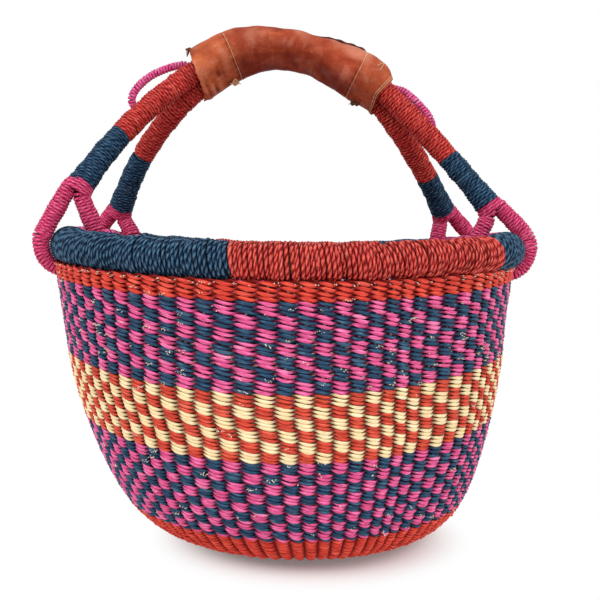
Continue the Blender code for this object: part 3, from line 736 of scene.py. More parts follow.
@dataclass
class Bowl:
    """The twined bowl, with its five colour bands and its base."""

    dyes: Dyes
    wall_radius: float = 0.1845
    wall_height: float = 0.220
    base_radius: float = 0.0490
    thickness: float = 0.0062
    lean: float = 0.0150
    rim_saddle: float = 0.0040
    belly_saddle: float = 0.0060
    outline_shares: tuple = (
        (0.012, 0.240),
        (0.050, 0.489),
        (0.130, 0.643),
        (0.250, 0.753),
        (0.420, 0.851),
        (0.600, 0.920),
        (0.800, 0.957),
        (1.000, 1.000),
    )
    base_points: int = 11
    lowest: float = 0.0011
    half_thick: float = 0.00110
    foot_top: float = 0.148
    lower_top: float = 0.443
    cream_top: float = 0.662
    upper_top: float = 0.926
    row_pitch: float = 0.00273
    stakes: int = 88
    stakes_radius: float = 0.098
    hub_stakes: int = 24
    hub_stakes_radius: float = 0.044
    samples: int = 6
    hub_radius: float = 0.0070
    stake_rise: float = 0.0105
    phase: float = -0.86
    row_shift: float = 0.085
    row_beat: float = 3.7e4
    jitter: float = 0.00016
    check_rows: int = 3
    foot_split: float = 0.61
    brim: float = 0.0120
    cream_sag: float = 0.0002
    gathers: tuple = ((270.0, 12.0, 1.3), (306.0, 11.0, -2.7))
    drift: float = 0.95
    drift_lobes: int = 3
    drift_middle: float = 240.0
    end_clusters: tuple = (120, 60, 230, 45)
    on_blue: float = 0.72
    seed: int = 11
    outline: np.ndarray = field(init=False)
    middle: np.ndarray = field(init=False)

    def __post_init__(self) -> None:
        """Draws the outline and the middle surface's profile from the hub to the rim."""
        flare = self.wall_radius - self.base_radius
        points = [(self.base_radius, 0.0)]
        points += [
            (self.base_radius + flare * out, self.wall_height * up)
            for up, out in self.outline_shares
        ]
        self.outline = smooth_route(points)
        slopes = unit(np.gradient(self.outline, axis=0))
        inward = np.stack([-slopes[:, 1], slopes[:, 0]], axis=1)
        inward[0] = (0, 1)
        wall = self.outline + inward * self.thickness / 2
        top = wall[-1] + unit(wall[-1] - wall[-2]) * self.thickness
        reach = np.linspace(0, self.base_radius, self.base_points + 1)[:-1]
        base = np.stack([reach, np.full(self.base_points, self.thickness / 2)], axis=1)
        self.middle = np.vstack([base, wall, top])
        self.rng = np.random.default_rng(self.seed)
        turns = np.arange(1, 30)
        self.waves = self.rng.normal(size=(len(turns), 2)) * 0.0016 / np.sqrt(turns)[:, None]

    def radius_at(self, height: float) -> float:
        """The outer radius of the wall at a height."""
        return float(np.interp(height, self.outline[:, 1], self.outline[:, 0]))

    def centre_at(self, height: np.ndarray | float) -> np.ndarray | float:
        """How far the lean has moved the wall's middle along X at a height."""
        rise = np.clip(height / self.wall_height, 0, None)
        return -self.lean * rise * (2 - rise)

    def placed(self, radius: np.ndarray, azimuth: np.ndarray, height: np.ndarray) -> np.ndarray:
        """Turns, leans and saddles points of the wall.

        Args:
            radius: Their distances from the axis.
            azimuth: Their directions, in radians.
            height: Their heights before the wall is saddled.

        Returns:
            The points in the frame of the CAD.
        """
        rise = height / self.wall_height
        saddle = self.rim_saddle * rise + self.belly_saddle * 4 * rise * (1 - rise)
        lift = saddle * (radius / self.wall_radius) ** 2 * np.cos(2 * azimuth)
        x = radius * np.cos(azimuth) + self.centre_at(height)
        level = np.maximum(height + lift, self.lowest)
        return np.stack([x, radius * np.sin(azimuth), level], axis=-1)

    def beside(self, row: Row, azimuth: np.ndarray, out: np.ndarray, up: np.ndarray) -> np.ndarray:
        """Places points beside a row.

        Args:
            row: The row.
            azimuth: Their directions, in radians.
            out: How far they lie outside the row's middle line.
            up: How far up the wall they lie from it.

        Returns:
            The points in the frame of the CAD.
        """
        radius = row.radius + row.outwards[0] * out + row.upwards[0] * up
        height = row.height + row.outwards[1] * out + row.upwards[1] * up
        return self.placed(radius, azimuth, height)

    def wandering(self, turn: np.ndarray, along: np.ndarray | float) -> np.ndarray:
        """Moves evenly numbered stakes to where they stand.

        Args:
            turn: Their even azimuths, in radians.
            along: The lengths along the middle profile that they are wanted at.

        Returns:
            The azimuths, which crowd in places and drift a little towards the base.
        """
        ranks = np.arange(1, len(self.waves) + 1)
        angles = turn[:, None] * ranks
        moved = turn + np.sin(angles) @ self.waves[:, 0] + np.cos(angles) @ self.waves[:, 1]
        degrees = np.degrees(turn) % 360
        for place, wide, shift in self.gathers:
            moved = moved + math.radians(shift) * hump(degrees - place, wide)
        cream, upper = self.borders[2:4]
        depth = np.clip((upper - along) / (upper - cream), 0, 1)
        lobes = 1 + np.cos(self.drift_lobes * (turn - math.radians(self.drift_middle)))
        return moved - math.radians(self.drift) * depth * lobes

    @property
    def borders(self) -> tuple[float, ...]:
        """The lengths along the middle profile between the bands, up to the top band's end."""
        tops = (self.foot_top, self.lower_top, self.cream_top, self.upper_top)
        return *(self.length_at(top) for top in tops), self.length_at(self.upper_top) + self.brim

    def rows_between(self, low: float, high: float) -> list[Row]:
        """Sets rows between two lengths along the middle profile.

        Args:
            low: The length at which the first row begins.
            high: The length at which the last row ends.

        Returns:
            The rows, from the inside outwards and upwards.
        """
        count = max(1, round((high - low) / self.row_pitch))
        pitch = (high - low) / count
        rows = []
        for at in low + pitch * (np.arange(count) + 0.5):
            stops = np.array([at, at - pitch / 2, at + pitch / 2])
            spot, before, after = sampled(self.middle, stops)
            upwards = unit(after - before)
            outwards = (upwards[1], -upwards[0])
            stakes = self.stakes if spot[0] > self.stakes_radius else self.stakes // 2
            if spot[0] < self.hub_stakes_radius:
                stakes = self.hub_stakes
            rows.append(Row(*spot, outwards, tuple(upwards), pitch, stakes, at))
        return rows

    def length_at(self, share: float) -> float:
        """Measures along the middle profile.

        Args:
            share: A share of the wall's height.

        Returns:
            The length from the hub to that height.
        """
        wall = lengths_along(self.middle)[self.base_points :]
        level = share * self.wall_height
        ranks = np.interp(level, self.outline[:, 1], np.arange(len(self.outline)))
        return float(np.interp(ranks, np.arange(len(wall)), wall))

    def lay_strand(
        self, mesh: StrawMesh, row: Row, strand: int, sag: float, form: StitchForm
    ) -> None:
        """Twines one weft of a row in front of every other stake and behind the rest.

        Args:
            mesh: The mesh that the weft goes into.
            row: The row.
            strand: 0 or 1, for which stakes it passes in front of.
            sag: How far the middle of each stitch hangs, in metres.
            form: The form of the stitches.
        """
        rng, count = self.rng, row.stakes * self.samples
        steps = np.arange(count)
        theta = math.pi * (steps / self.samples - strand)
        stitch = np.rint(steps / self.samples).astype(int) % row.stakes
        front, side = np.cos(theta), np.sin(theta)
        full = np.abs(front)
        bulge = 1 + rng.normal(0, form.unevenness, row.stakes)[stitch]
        height = 1 + rng.normal(0, WIDTH_SPREAD, row.stakes)[stitch]
        jitter = rng.normal(0, self.jitter, row.stakes)[stitch]
        tone = np.clip(0.5 + rng.normal(0, TONE_SPREAD, row.stakes), 0, 1)[stitch]
        offset = form.depth * np.sign(front) * full**0.65 * bulge
        along = -form.slant * side + jitter * full**2 - sag * front * full
        shifted = 0.0 if form is RIBBED else self.row_shift * math.sin(row.along * self.row_beat)
        turned = steps / self.samples + shifted + self.phase * row.stakes / self.stakes
        azimuth = self.wandering(FULL_TURN * turned / row.stakes, row.along)
        centres = self.beside(row, azimuth, offset, along)
        turn = np.stack([np.cos(azimuth), np.sin(azimuth)], axis=1)
        outward = np.column_stack([turn * row.outwards[0], np.full(count, row.outwards[1])])
        across = np.column_stack([turn * row.upwards[0], np.full(count, row.upwards[1])])
        tip = form.end_height + form.hidden_height * eased(0.8 - 3 * front)
        half_height = row.pitch * (tip + form.growth * full**form.power) * height
        thick = self.half_thick * (0.74 + 0.26 * full)
        # Painted shade: stitches darken towards their ends, and the side of each weft that faces
        # the stake it passes is painted dark.
        corner = np.cos(FULL_TURN * np.arange(mesh.sides) / mesh.sides)
        covered_shade = eased(-2.2 * front[:, None] * corner)
        lit = form.darkest + (1 - form.darkest) * eased(full * 1.2)
        shade = lit[:, None] * (1 - 0.85 * covered_shade)
        mesh.add(centres, across, outward, half_height, thick, tone, shade, closed=True)

    def weave_band(
        self,
        name: str,
        node: str,
        low: float,
        high: float,
        straws: tuple[Straw, ...],
        slots: tuple[str, ...],
        sag: float = 0.0,
        form: StitchForm = SMOOTH,
    ) -> None:
        """Twines a band, in one piece for each of its colours.

        Args:
            name: The start of the pieces' names.
            node: The CAD node that the band stands for.
            low: The length along the middle profile where it begins.
            high: The length where it ends.
            straws: One dye, or the two dyes of its checks.
            slots: The material slot of each dye.
            sag: How far the middle of each stitch hangs.
            form: The form of the stitches.
        """
        meshes = [StrawMesh() for _ in straws]
        rows = self.rows_between(low, high)
        for number, row in enumerate(reversed(rows)):
            for strand in (0, 1):
                colour = (strand + number // self.check_rows) % 2 if len(straws) == 2 else 0
                self.lay_strand(meshes[colour], row, strand, sag, form)
        for mesh, straw, slot in zip(meshes, straws, slots):
            label = name if len(straws) == 1 else f"{name}_{straw.value}"
            settle(mesh.piece(label, self.dyes.get(straw)), slot, node)

    def stand_stakes(self) -> None:
        """Stands the stakes that the rows are twined over, from the base to the rim."""
        mesh = StrawMesh(4)
        for number in range(self.stakes):
            start = self.length_at(0.0) if number % 2 else self.hub_radius
            along = np.linspace(start, self.length_at(self.upper_top) + self.stake_rise, 34)
            spots = sampled(self.middle, along)
            turn = FULL_TURN * (number + self.phase) / self.stakes
            azimuth = self.wandering(np.full(len(spots), turn), along)
            centres = self.placed(spots[:, 0], azimuth, spots[:, 1])
            tangents = unit(np.gradient(centres, axis=0))
            outward = np.column_stack([np.cos(azimuth), np.sin(azimuth), 0 * azimuth])
            across = unit(np.cross((0, 0, 1.0), outward))
            # The stakes get a painted shade of one half along their whole length.
            mesh.add(centres, across, np.cross(tangents, across), 0.0010, 0.0009, 0.3, 0.5)
        settle(mesh.piece("stakes", self.dyes.get(Straw.UNDYED)), "grass_core")

    def scatter_ends(self) -> None:
        """Leaves the tiny pale ends of straw that poke out between the stitches in clusters."""
        mesh = StrawMesh(4)
        rng = np.random.default_rng(self.seed + 1)
        borders = self.borders
        for low, high, clusters in zip(borders, borders[1:], self.end_clusters):
            rows = self.rows_between(low, high)[::-1]
            for pick in rng.integers(0, len(rows), clusters):
                second = (1 + pick // self.check_rows) % 2
                pair = 2 * rng.integers(0, rows[pick].stakes // 2)
                chosen = second if rng.random() < self.on_blue else 1 - second
                stake = pair + chosen + 0.16 * rng.normal()
                for number in range(rng.integers(1, 7)):
                    place = stake + 0.09 * (number - 2) + 0.03 * rng.normal()
                    self.poke_end(mesh, rows[pick], place, rng)
        brim = self.rows_between(*borders[-2:])[-1]
        for stake in range(self.stakes):
            for _ in range(rng.integers(1, 4)):
                self.poke_end(mesh, brim, stake + 0.5 + 0.12 * rng.normal(), rng)
        settle(mesh.piece("straw_ends", self.dyes.get(Straw.UNDYED)), "grass_core")

    def poke_end(self, mesh: StrawMesh, row: Row, stake: float, rng: np.random.Generator) -> None:
        """Pokes one tiny end out of a row.

        Args:
            mesh: The mesh that the end goes into.
            row: The row that it comes out of.
            stake: Its place round the row, counted in stakes.
            rng: The source of its unevenness.
        """
        turn = (stake + self.phase * row.stakes / self.stakes) * FULL_TURN / row.stakes
        turns = np.array([turn, turn + rng.normal(0, 0.0008), turn + rng.normal(0, 0.0020)])
        azimuth = self.wandering(turns, row.along)
        offset = np.array([0.0012, 0.0032, 0.0033 + rng.uniform(0.0001, 0.0005)])
        along = rng.normal(0, 0.0006) + np.array([0, 0.2, 1.0]) * rng.normal(0, 0.0005)
        centres = self.beside(row, azimuth, offset, along)
        spine = Spine(centres, (0, 0, 1.0))
        size = rng.uniform(0.00020, 0.00038)
        taper, tone = size * np.array([1, 1, 0.6]), rng.uniform(0.3, 1.0)
        mesh.add(centres, spine.sides, spine.overs, taper, size, tone)

    def weave(self) -> None:
        """Twines the base and every band of the wall."""
        foot, lower, cream, upper, top = self.borders
        base = self.length_at(0.0)
        middle = base + self.foot_split * (foot - base)
        plain = ((Straw.ORANGE,), ("straw_orange",))
        pair = ((Straw.PINK, Straw.BLUE), ("straw_pink", "straw_blue"))
        pale = ((Straw.CREAM, Straw.CHECK_RED), ("check_cream_red", "straw_red"))
        self.weave_band("base_weave", "base_disc", self.hub_radius / 2, base, *plain, form=RIBBED)
        self.weave_band("foot_weave_under", "foot_band", base, middle, *plain, form=RIBBED)
        self.weave_band("foot_weave", "foot_band", middle, foot, *plain, form=RIBBED)
        self.weave_band("lower_check", "lower_check_band", foot, lower, *pair)
        self.weave_band("cream_check", "cream_check_band", lower, cream, *pale, sag=self.cream_sag)
        self.weave_band("upper_check", "upper_check_band", cream, upper, *pair)
        self.weave_band("top_weave", "top_band", upper, top, *plain)
        self.stand_stakes()
        self.scatter_ends()


@dataclass(frozen=True)
class Winding:
    """How a straw is wound round something: its pitch, its section and its unevenness."""

    pitch: float
    half_wide: float
    half_thick: float
    points: int
    wobble: float = 0.00018
    hand: int = -1

    def lay(
        self,
        mesh: StrawMesh,
        spine: Spine,
        reach: Reach,
        start: float,
        end: float,
        rng: np.random.Generator,
        tone: float = 0.5,
        phase: float = 0.0,
        slip: Reach | None = None,
    ) -> float:
        """Winds one straw along a spine.

        Args:
            mesh: The mesh that the straw goes into.
            spine: What it is wound round.
            reach: The outer radius of the winding at lengths and angles round the spine.
            start: The length at which the winding starts.
            end: The length at which it ends.
            rng: The source of its unevenness.
            tone: The middle of the straw's tones.
            phase: The angle at which it starts.
            slip: How far the straw is pushed along the spine at lengths and angles.

        Returns:
            The angle at which it ends.
        """
        loops = max(1.0, (end - start) / self.pitch - 1)
        count = int(loops * self.points) + 1
        steps = np.arange(count) / self.points
        along = start + self.pitch / 2 + (end - start - self.pitch) * steps / max(steps[-1], 1e-9)
        angle = phase + self.hand * FULL_TURN * steps
        knots = np.arange(0, loops + 2, 1 / 3)
        lifts = rng.normal(0, self.wobble, len(knots))
        pushes = rng.normal(0, 0.065 * self.pitch, len(knots))
        tones = np.clip(tone + rng.normal(0, TONE_SPREAD, len(knots)), 0, 1)
        widths = 1 + rng.normal(0, WIDTH_SPREAD, len(knots))
        lift = np.interp(steps, knots, lifts)
        tuck = np.minimum(eased(steps * 4), eased((steps[-1] - steps) * 4))
        outer = reach(along, angle) + lift
        pushed = np.interp(steps, knots, pushes)
        if slip is not None:
            pushed = pushed + slip(along, angle)
        centres, tangents, sides, overs = spine.at(along + pushed)
        radial = np.cos(angle)[:, None] * sides + np.sin(angle)[:, None] * overs
        distance = outer - self.half_thick - (1 - tuck) * 0.9 * self.half_thick
        wide = self.half_wide * np.interp(steps, knots, widths)
        middle, tint = centres + radial * distance[:, None], np.interp(steps, knots, tones)
        mesh.add(middle, tangents, radial, wide, self.half_thick, tint)
        return float(angle[-1])


@dataclass
class Rim:
    """The rolled rim: a grass ring under wound straw in eight colour sections."""

    dyes: Dyes
    bowl: Bowl
    inset: float = 0.0100
    lift: float = 0.0080
    offset: float = 0.0124
    tube_radius: float = 0.0130
    swell: float = 0.0016
    pitch: float = 0.00306
    creases: tuple = (281.9, 292.1, 299.6, 307.2, 317.9)
    crease_depth: float = 0.0019
    crease_width: float = 0.75
    sections: tuple = (
        ("rim_wrap_front_blue", 183.75, 258.75, Straw.BLUE),
        ("rim_wrap_front_red", 258.75, 326.25, Straw.RED),
        ("rim_wrap_right_blue", 326.25, 356.25, Straw.BLUE),
        ("rim_wrap_right_pink", 356.25, 393.75, Straw.PINK),
        ("rim_wrap_back_right_blue", 393.75, 431.25, Straw.BLUE),
        ("rim_wrap_back_red", 431.25, 476.25, Straw.RED),
        ("rim_wrap_back_left_blue", 476.25, 506.25, Straw.BLUE),
        ("rim_wrap_left_pink", 506.25, 543.75, Straw.PINK),
    )
    seed: int = 23
    degrees: np.ndarray = field(init=False)
    spine: Spine = field(init=False)

    def __post_init__(self) -> None:
        """Draws the middle line once round and a little over, with an upright frame."""
        self.degrees = np.arange(180.0, 550.0, 1.0)
        turns = np.radians(self.degrees)
        self.spine = Spine(np.array([self.point(a) for a in self.degrees]), (-1.0, 0, 0))
        self.spine.sides = np.column_stack([np.cos(turns), np.sin(turns), 0 * turns])
        self.spine.overs = np.cross(self.spine.sides, self.spine.tangents)

    @property
    def radius(self) -> float:
        """The radius of the rim's middle line."""
        return self.bowl.wall_radius - self.inset

    def point(self, azimuth: float, outwards: float = 0.0, upwards: float = 0.0) -> np.ndarray:
        """Finds a point of an upright plane through the rim.

        Args:
            azimuth: The direction of the plane, in degrees.
            outwards: How far the point lies outside the rim's middle line.
            upwards: How far it lies above it.

        Returns:
            The point in the frame of the CAD.
        """
        angle = math.radians(azimuth)
        reach = self.radius + outwards
        saddle = self.bowl.rim_saddle * math.cos(2 * angle)
        level = self.bowl.wall_height + self.lift + saddle + upwards
        return np.array([reach * math.cos(angle) - self.offset, reach * math.sin(angle), level])

    def tube_at(self, azimuth: float | np.ndarray) -> float | np.ndarray:
        """The radius of the wound rim, which swells where the handle's feet are bound."""
        return self.tube_radius + self.swell * np.cos(np.radians(azimuth)) ** 8

    def reach(self, along: np.ndarray, angle: np.ndarray) -> np.ndarray:
        """Finds the wound radius, which is pinched at the creases of the red section.

        Args:
            along: Lengths along the middle line.
            angle: Angles round it, in radians; not used.

        Returns:
            The radius of the winding there.
        """
        azimuth = np.interp(along, self.spine.lengths, self.degrees)
        folds = (hump(azimuth - crease, self.crease_width) for crease in self.creases)
        pinch = sum(self.crease_depth * fold for fold in folds)
        turn = np.radians(azimuth)
        roll = 0.0004 * np.sin(turn * 23) + 0.0003 * np.sin(turn * 41 + 2)
        return self.tube_at(azimuth) + roll - pinch

    def slip(self, along: np.ndarray, angle: np.ndarray) -> np.ndarray:
        """Finds the lean of the straws, which fan out between two creases.

        Args:
            along: Lengths along the middle line.
            angle: Angles round it, in radians.

        Returns:
            How far the straw is pushed along the middle line there.
        """
        azimuth = np.interp(along, self.spine.lengths, self.degrees)
        lean = 0.10 + 0.08 * np.sin(np.radians(azimuth) * 9)
        return -lean * self.tube_radius * np.sin(angle)

    def wind(self) -> None:
        """Winds all the sections, each straw starting where the last one ends."""
        rng = np.random.default_rng(self.seed)
        straw = Winding(
            self.pitch, half_wide=0.00178, half_thick=0.00195, points=30, wobble=0.00024
        )
        turned = math.pi
        for name, start, end, dye in self.sections:
            mesh = StrawMesh()
            low, high = np.interp((start, end), self.degrees, self.spine.lengths)
            low, high = low - self.pitch / 2, high + self.pitch / 2
            turned = straw.lay(
                mesh, self.spine, self.reach, low, high, rng, phase=turned, slip=self.slip
            )
            settle(mesh.piece(name, self.dyes.get(dye, Cord.COARSE)), f"straw_{dye.value}", name)


@dataclass(frozen=True)
class Foot:
    """Where a leg of the handle stands on the rim."""

    side: int
    azimuth: float
    rise: float
    inset: float
    bow: float
    blue: float


@dataclass
class Handle:
    """Two hoops side by side, each of whose legs forks over the rim."""

    dyes: Dyes
    bowl: Bowl
    rim: Rim
    leg_radius: float = 0.0092
    leg_flare: float = 0.0013
    leg_proud: float = 0.0003
    branch_proud: float = 0.0006
    fork_length: float = 0.0078
    fork_widths: tuple = (0.0107, 0.0142)
    fork_thicknesses: tuple = (0.0100, 0.0084)
    parting: float = 0.011
    collar_span: tuple = (-0.0014, 0.0105)
    branch_radius: float = 0.0067
    root_radius: float = 0.0042
    tip_radius: float = 0.0050
    grip_half_length: float = 0.0770
    grip_top: float = 0.3972
    grip_drop: float = 0.0359
    grip_offset: float = 0.0137
    grip_setback: float = 0.0150
    drop_left: float = 0.0090
    drop_right: float = 0.0066
    gap: float = 0.0003
    seat: float = 0.0005
    tuck: float = 0.0042
    spread: float = 1.6
    flared: float = 0.35
    hoop_spacing: float = 0.0158
    pitch: float = 0.0025
    line_shares: tuple = (
        (-1.00, 0.627),
        (-0.80, 0.375),
        (-0.53, 0.110),
        (-0.27, 0.000),
        (0.00, 0.006),
        (0.27, 0.145),
        (0.60, 0.443),
        (0.80, 0.645),
        (1.00, 1.000),
    )
    feet: dict = field(
        default_factory=lambda: {
            "front_left": Foot(-1, 196.0, 1.78, 0.30, 0.063, 0.408),
            "front_right": Foot(1, 358.0, 1.42, 0.49, 0.020, 0.396),
            "back_left": Foot(-1, 156.0, 1.31, 0.32, 0.065, 0.400),
            "back_right": Foot(1, 29.0, 1.41, 0.66, 0.025, 0.324),
        }
    )
    seed: int = 37

    def __post_init__(self) -> None:
        """Starts the source of the windings' unevenness."""
        self.rng = np.random.default_rng(self.seed)

    @property
    def apart(self) -> float:
        """The distance between the middle lines of the hoops inside the grip."""
        return 2 * self.leg_radius + 4 * self.gap

    def grip_line(self) -> np.ndarray:
        """Draws the middle line of the grip.

        Returns:
            Its points, from left to right.
        """
        half, offset = self.grip_half_length, self.grip_offset
        top, fall = self.grip_top, self.grip_drop
        return smooth_route(
            [(half * x - offset, self.grip_setback, top - fall * z) for x, z in self.line_shares]
        )

    def upward(self, line: np.ndarray) -> np.ndarray:
        """Unit normals of the grip's line that point up."""
        tangents = unit(np.gradient(line, axis=0))
        return np.stack([-tangents[:, 2], 0 * tangents[:, 0], tangents[:, 0]], axis=1)

    def drops(self, count: int) -> np.ndarray:
        """How far the back hoop lies below the front one, from left to right."""
        return np.linspace(self.drop_left, self.drop_right, count)

    def hoop_in_grip(self, front: bool) -> np.ndarray:
        """A hoop's middle line through the grip.

        Args:
            front: True for the front hoop, False for the back one.

        Returns:
            The points from left to right.
        """
        line = self.grip_line()
        forward = line - np.array([0, self.apart / 2, 0])
        if front:
            return forward
        drops = self.drops(len(line))[:, None]
        behind = np.sqrt(self.apart**2 - drops**2) * np.array([0, 1.0, 0])
        return forward + behind - self.upward(line) * drops

    def leg_line(self, name: str) -> np.ndarray:
        """Draws a leg's middle line.

        Args:
            name: Its foot.

        Returns:
            The points from its fork to the end of the grip.
        """
        foot = self.feet[name]
        grip = self.hoop_in_grip(name.startswith("front"))
        end = grip[-1] if foot.side > 0 else grip[0]
        thickness = 2 * self.rim.tube_radius
        start = self.rim.point(foot.azimuth, -foot.inset * thickness, foot.rise * thickness)
        chord = end - start
        up = np.array([0, 0, 1.0])
        lift = unit(up - unit(chord) * np.dot(up, unit(chord)))
        rank = np.linspace(0, 1, 6)
        arch = 4 * rank * (1 - rank) * foot.bow * np.linalg.norm(chord)
        points = start + chord * rank[:, None] + lift * arch[:, None]
        points[:, 1] = end[1] + (start[1] - end[1]) * (1 - rank) ** self.spread
        return smooth_route(points)

    def hoop_line(self, front: bool) -> np.ndarray:
        """Draws one hoop's middle line.

        Args:
            front: True for the front hoop, False for the back one.

        Returns:
            The points from its left fork through the grip to its right fork.
        """
        end = "front" if front else "back"
        left, right = self.leg_line(f"{end}_left"), self.leg_line(f"{end}_right")
        inner = self.hoop_in_grip(front)[12:-12]
        return smooth_route([*left[::12], *inner[::12], *right[::-12]])

    def leg_up(self, name: str) -> tuple[np.ndarray, float]:
        """The hoop as it runs up from a foot.

        Args:
            name: The foot.

        Returns:
            The hoop's points from that foot, and the length at which the grip begins.
        """
        front = name.startswith("front")
        right = self.feet[name].side > 0
        line = self.hoop_line(front)[:: -1 if right else 1]
        end = self.hoop_in_grip(front)[-1 if right else 0]
        fine = resampled(line, 400)
        nearest = int(np.argmin(np.linalg.norm(fine - end, axis=1)))
        return line, float(lengths_along(fine)[nearest])

    def fork(self, name: str) -> tuple[np.ndarray, np.ndarray, np.ndarray]:
        """The frame of a fork.

        Args:
            name: The foot.

        Returns:
            Its place, the direction up its leg, and the direction across its branches.
        """
        line = self.leg_up(name)[0]
        coarse = resampled(line, round(lengths_along(line)[-1] / self.hoop_spacing) + 1)
        up = unit(coarse[1] - coarse[0])
        azimuth = math.radians(self.feet[name].azimuth)
        outwards = np.array([math.cos(azimuth), math.sin(azimuth), 0])
        return coarse[0], up, unit(outwards - up * np.dot(outwards, up))

    def branch_route(self, name: str, outer: bool) -> tuple[np.ndarray, np.ndarray, np.ndarray]:
        """The route of a branch from its fork, round the rim, into the wall.

        Args:
            name: The foot.
            outer: Whether it passes outside the rim.

        Returns:
            Its points, its radius at each point, and a direction along the rim there.
        """
        start, up, across = self.fork(name)
        way = 1 if outer else -1
        half = (self.root_radius + self.branch_radius) / 2
        stub = [
            start - up * self.seat + across * way * (self.root_radius + self.seat),
            start - up * self.fork_length / 4 + across * way * (self.root_radius + self.seat),
            start - up * self.fork_length + across * way * (half + self.seat),
        ]
        azimuth = math.degrees(math.atan2(stub[-1][1], stub[-1][0] + self.rim.offset))
        middle = self.rim.point(azimuth)
        outwards = self.rim.point(azimuth, 1) - middle
        reach = self.rim.tube_at(azimuth) + self.branch_radius + 2 * self.seat
        offset = stub[-1] - middle
        aside = float(np.dot(offset, outwards))
        slack = math.acos(min(1.0, reach / math.hypot(aside, offset[2])))
        first = math.degrees(math.atan2(offset[2], aside) - way * slack)
        reaches = reach - np.linspace(0, self.branch_radius - self.tip_radius, 7)
        level = middle[2] - reaches[-1]
        shift = self.bowl.centre_at(level) + self.rim.offset
        wall = self.bowl.radius_at(level) + shift * outwards[0]
        inset = wall - self.bowl.thickness / 2 - self.rim.radius
        under = math.degrees(math.acos(inset / reaches[-1]))
        turns = np.radians(np.linspace(first, -under if outer else 360 - under, 7))
        spots = zip(reaches * np.cos(turns), reaches * np.sin(turns))
        arc = [self.rim.point(azimuth, *spot) for spot in spots]
        route = resampled(smooth_route([*stub, *arc]), 60)
        along = lengths_along(route)
        grown = np.clip(along / (1.6 * self.fork_length), 0, 1)
        swell = (self.branch_radius - self.root_radius) * grown
        bend = lengths_along(np.array(arc))[-1]
        past = np.clip((along - along[-1] + bend) / bend, 0, 1)
        radii = self.root_radius + swell - (self.branch_radius - self.tip_radius) * past
        return route, radii, np.cross(outwards, (0, 0, 1.0))

    def wind_legs(self) -> None:
        """Winds red straw down from the grip and blue straw down to each fork."""
        straw = Winding(self.pitch, half_wide=0.00158, half_thick=0.00150, points=20)
        for name, foot in self.feet.items():
            line, leg = self.leg_up(name)
            spine = Spine(line, (0, 1.0, 0))
            border = leg * foot.blue

            def reach(along: np.ndarray, angle: np.ndarray, leg: float = leg) -> np.ndarray:
                """Finds the leg's outer radius, which thickens towards the fork.

                Args:
                    along: Lengths up the leg.
                    angle: Angles round it, which change nothing.
                    leg: The leg's whole length.

                Returns:
                    The radius there.
                """
                flare = self.leg_flare * np.clip(1 - along / leg / self.flared, 0, None) ** 2
                waves = (0.00025 * np.sin(along * 210), 0.0002 * np.sin(along * 530 + 1))
                return self.leg_radius + self.leg_proud + flare + waves[0] + waves[1]

            turned = math.radians(foot.azimuth)
            half = self.pitch / 2
            blue = (-0.001, border + half, Straw.BLUE)
            red = (border - half, leg + self.tuck, Straw.RED)
            for start, end, dye in (blue, red):
                label = f"{name}_{dye.value}_wrap"
                mesh = StrawMesh()
                turned = straw.lay(mesh, spine, reach, start, end, self.rng, phase=turned)
                piece = mesh.piece(label, self.dyes.get(dye, Cord.FINE))
                settle(piece, f"straw_{dye.value}", label)

    def wind_forks(self) -> None:
        """Binds both branches of each fork with a few turns, and winds each branch."""
        for name in self.feet:
            start, up, across = self.fork(name)
            spine = Spine(np.array([start - up * d for d in np.linspace(-0.001, 0.016, 8)]), across)

            def reach(along: np.ndarray, angle: np.ndarray) -> np.ndarray:
                """Finds the oval round both branches, which widens as they part.

                Args:
                    along: Lengths down from the fork.
                    angle: Angles round the fork.

                Returns:
                    The oval's radius there.
                """
                parted = (0, self.parting)
                wide = np.interp(along, parted, self.fork_widths)
                slim = np.interp(along, parted, self.fork_thicknesses)
                return wide * slim / np.hypot(slim * np.cos(angle), wide * np.sin(angle))

            mesh = StrawMesh()
            collar = Winding(
                self.pitch, half_wide=0.00158, half_thick=0.00140, points=20, wobble=0.00015
            )
            collar.lay(mesh, spine, reach, *self.collar_span, self.rng)
            label = f"{name}_fork_wrap"
            settle(mesh.piece(label, self.dyes.get(Straw.ROSE, Cord.FINE)), "straw_pink", label)
            for outer in (True, False):
                label = f"{name}_{'outer' if outer else 'inner'}_branch"
                route, radii, aside = self.branch_route(name, outer)
                branch = Spine(route, aside)

                def girth(
                    along: np.ndarray,
                    angle: np.ndarray,
                    far: np.ndarray = branch.lengths,
                    radii: np.ndarray = radii,
                ) -> np.ndarray:
                    """The branch's outer radius."""
                    smooth = np.interp(along, far, radii) + self.branch_proud
                    return smooth + 0.0002 * np.sin(along * 300)

                mesh = StrawMesh()
                straw = Winding(
                    self.pitch, half_wide=0.00156, half_thick=0.00135, points=14, wobble=0.00016
                )
                straw.lay(mesh, branch, girth, 0.0, branch.length + 0.002, self.rng)
                settle(mesh.piece(label, self.dyes.get(Straw.ROSE, Cord.FINE)), "straw_pink", label)

    def build(self) -> None:
        """Winds the legs, the forks and the branches."""
        self.wind_legs()
        self.wind_forks()


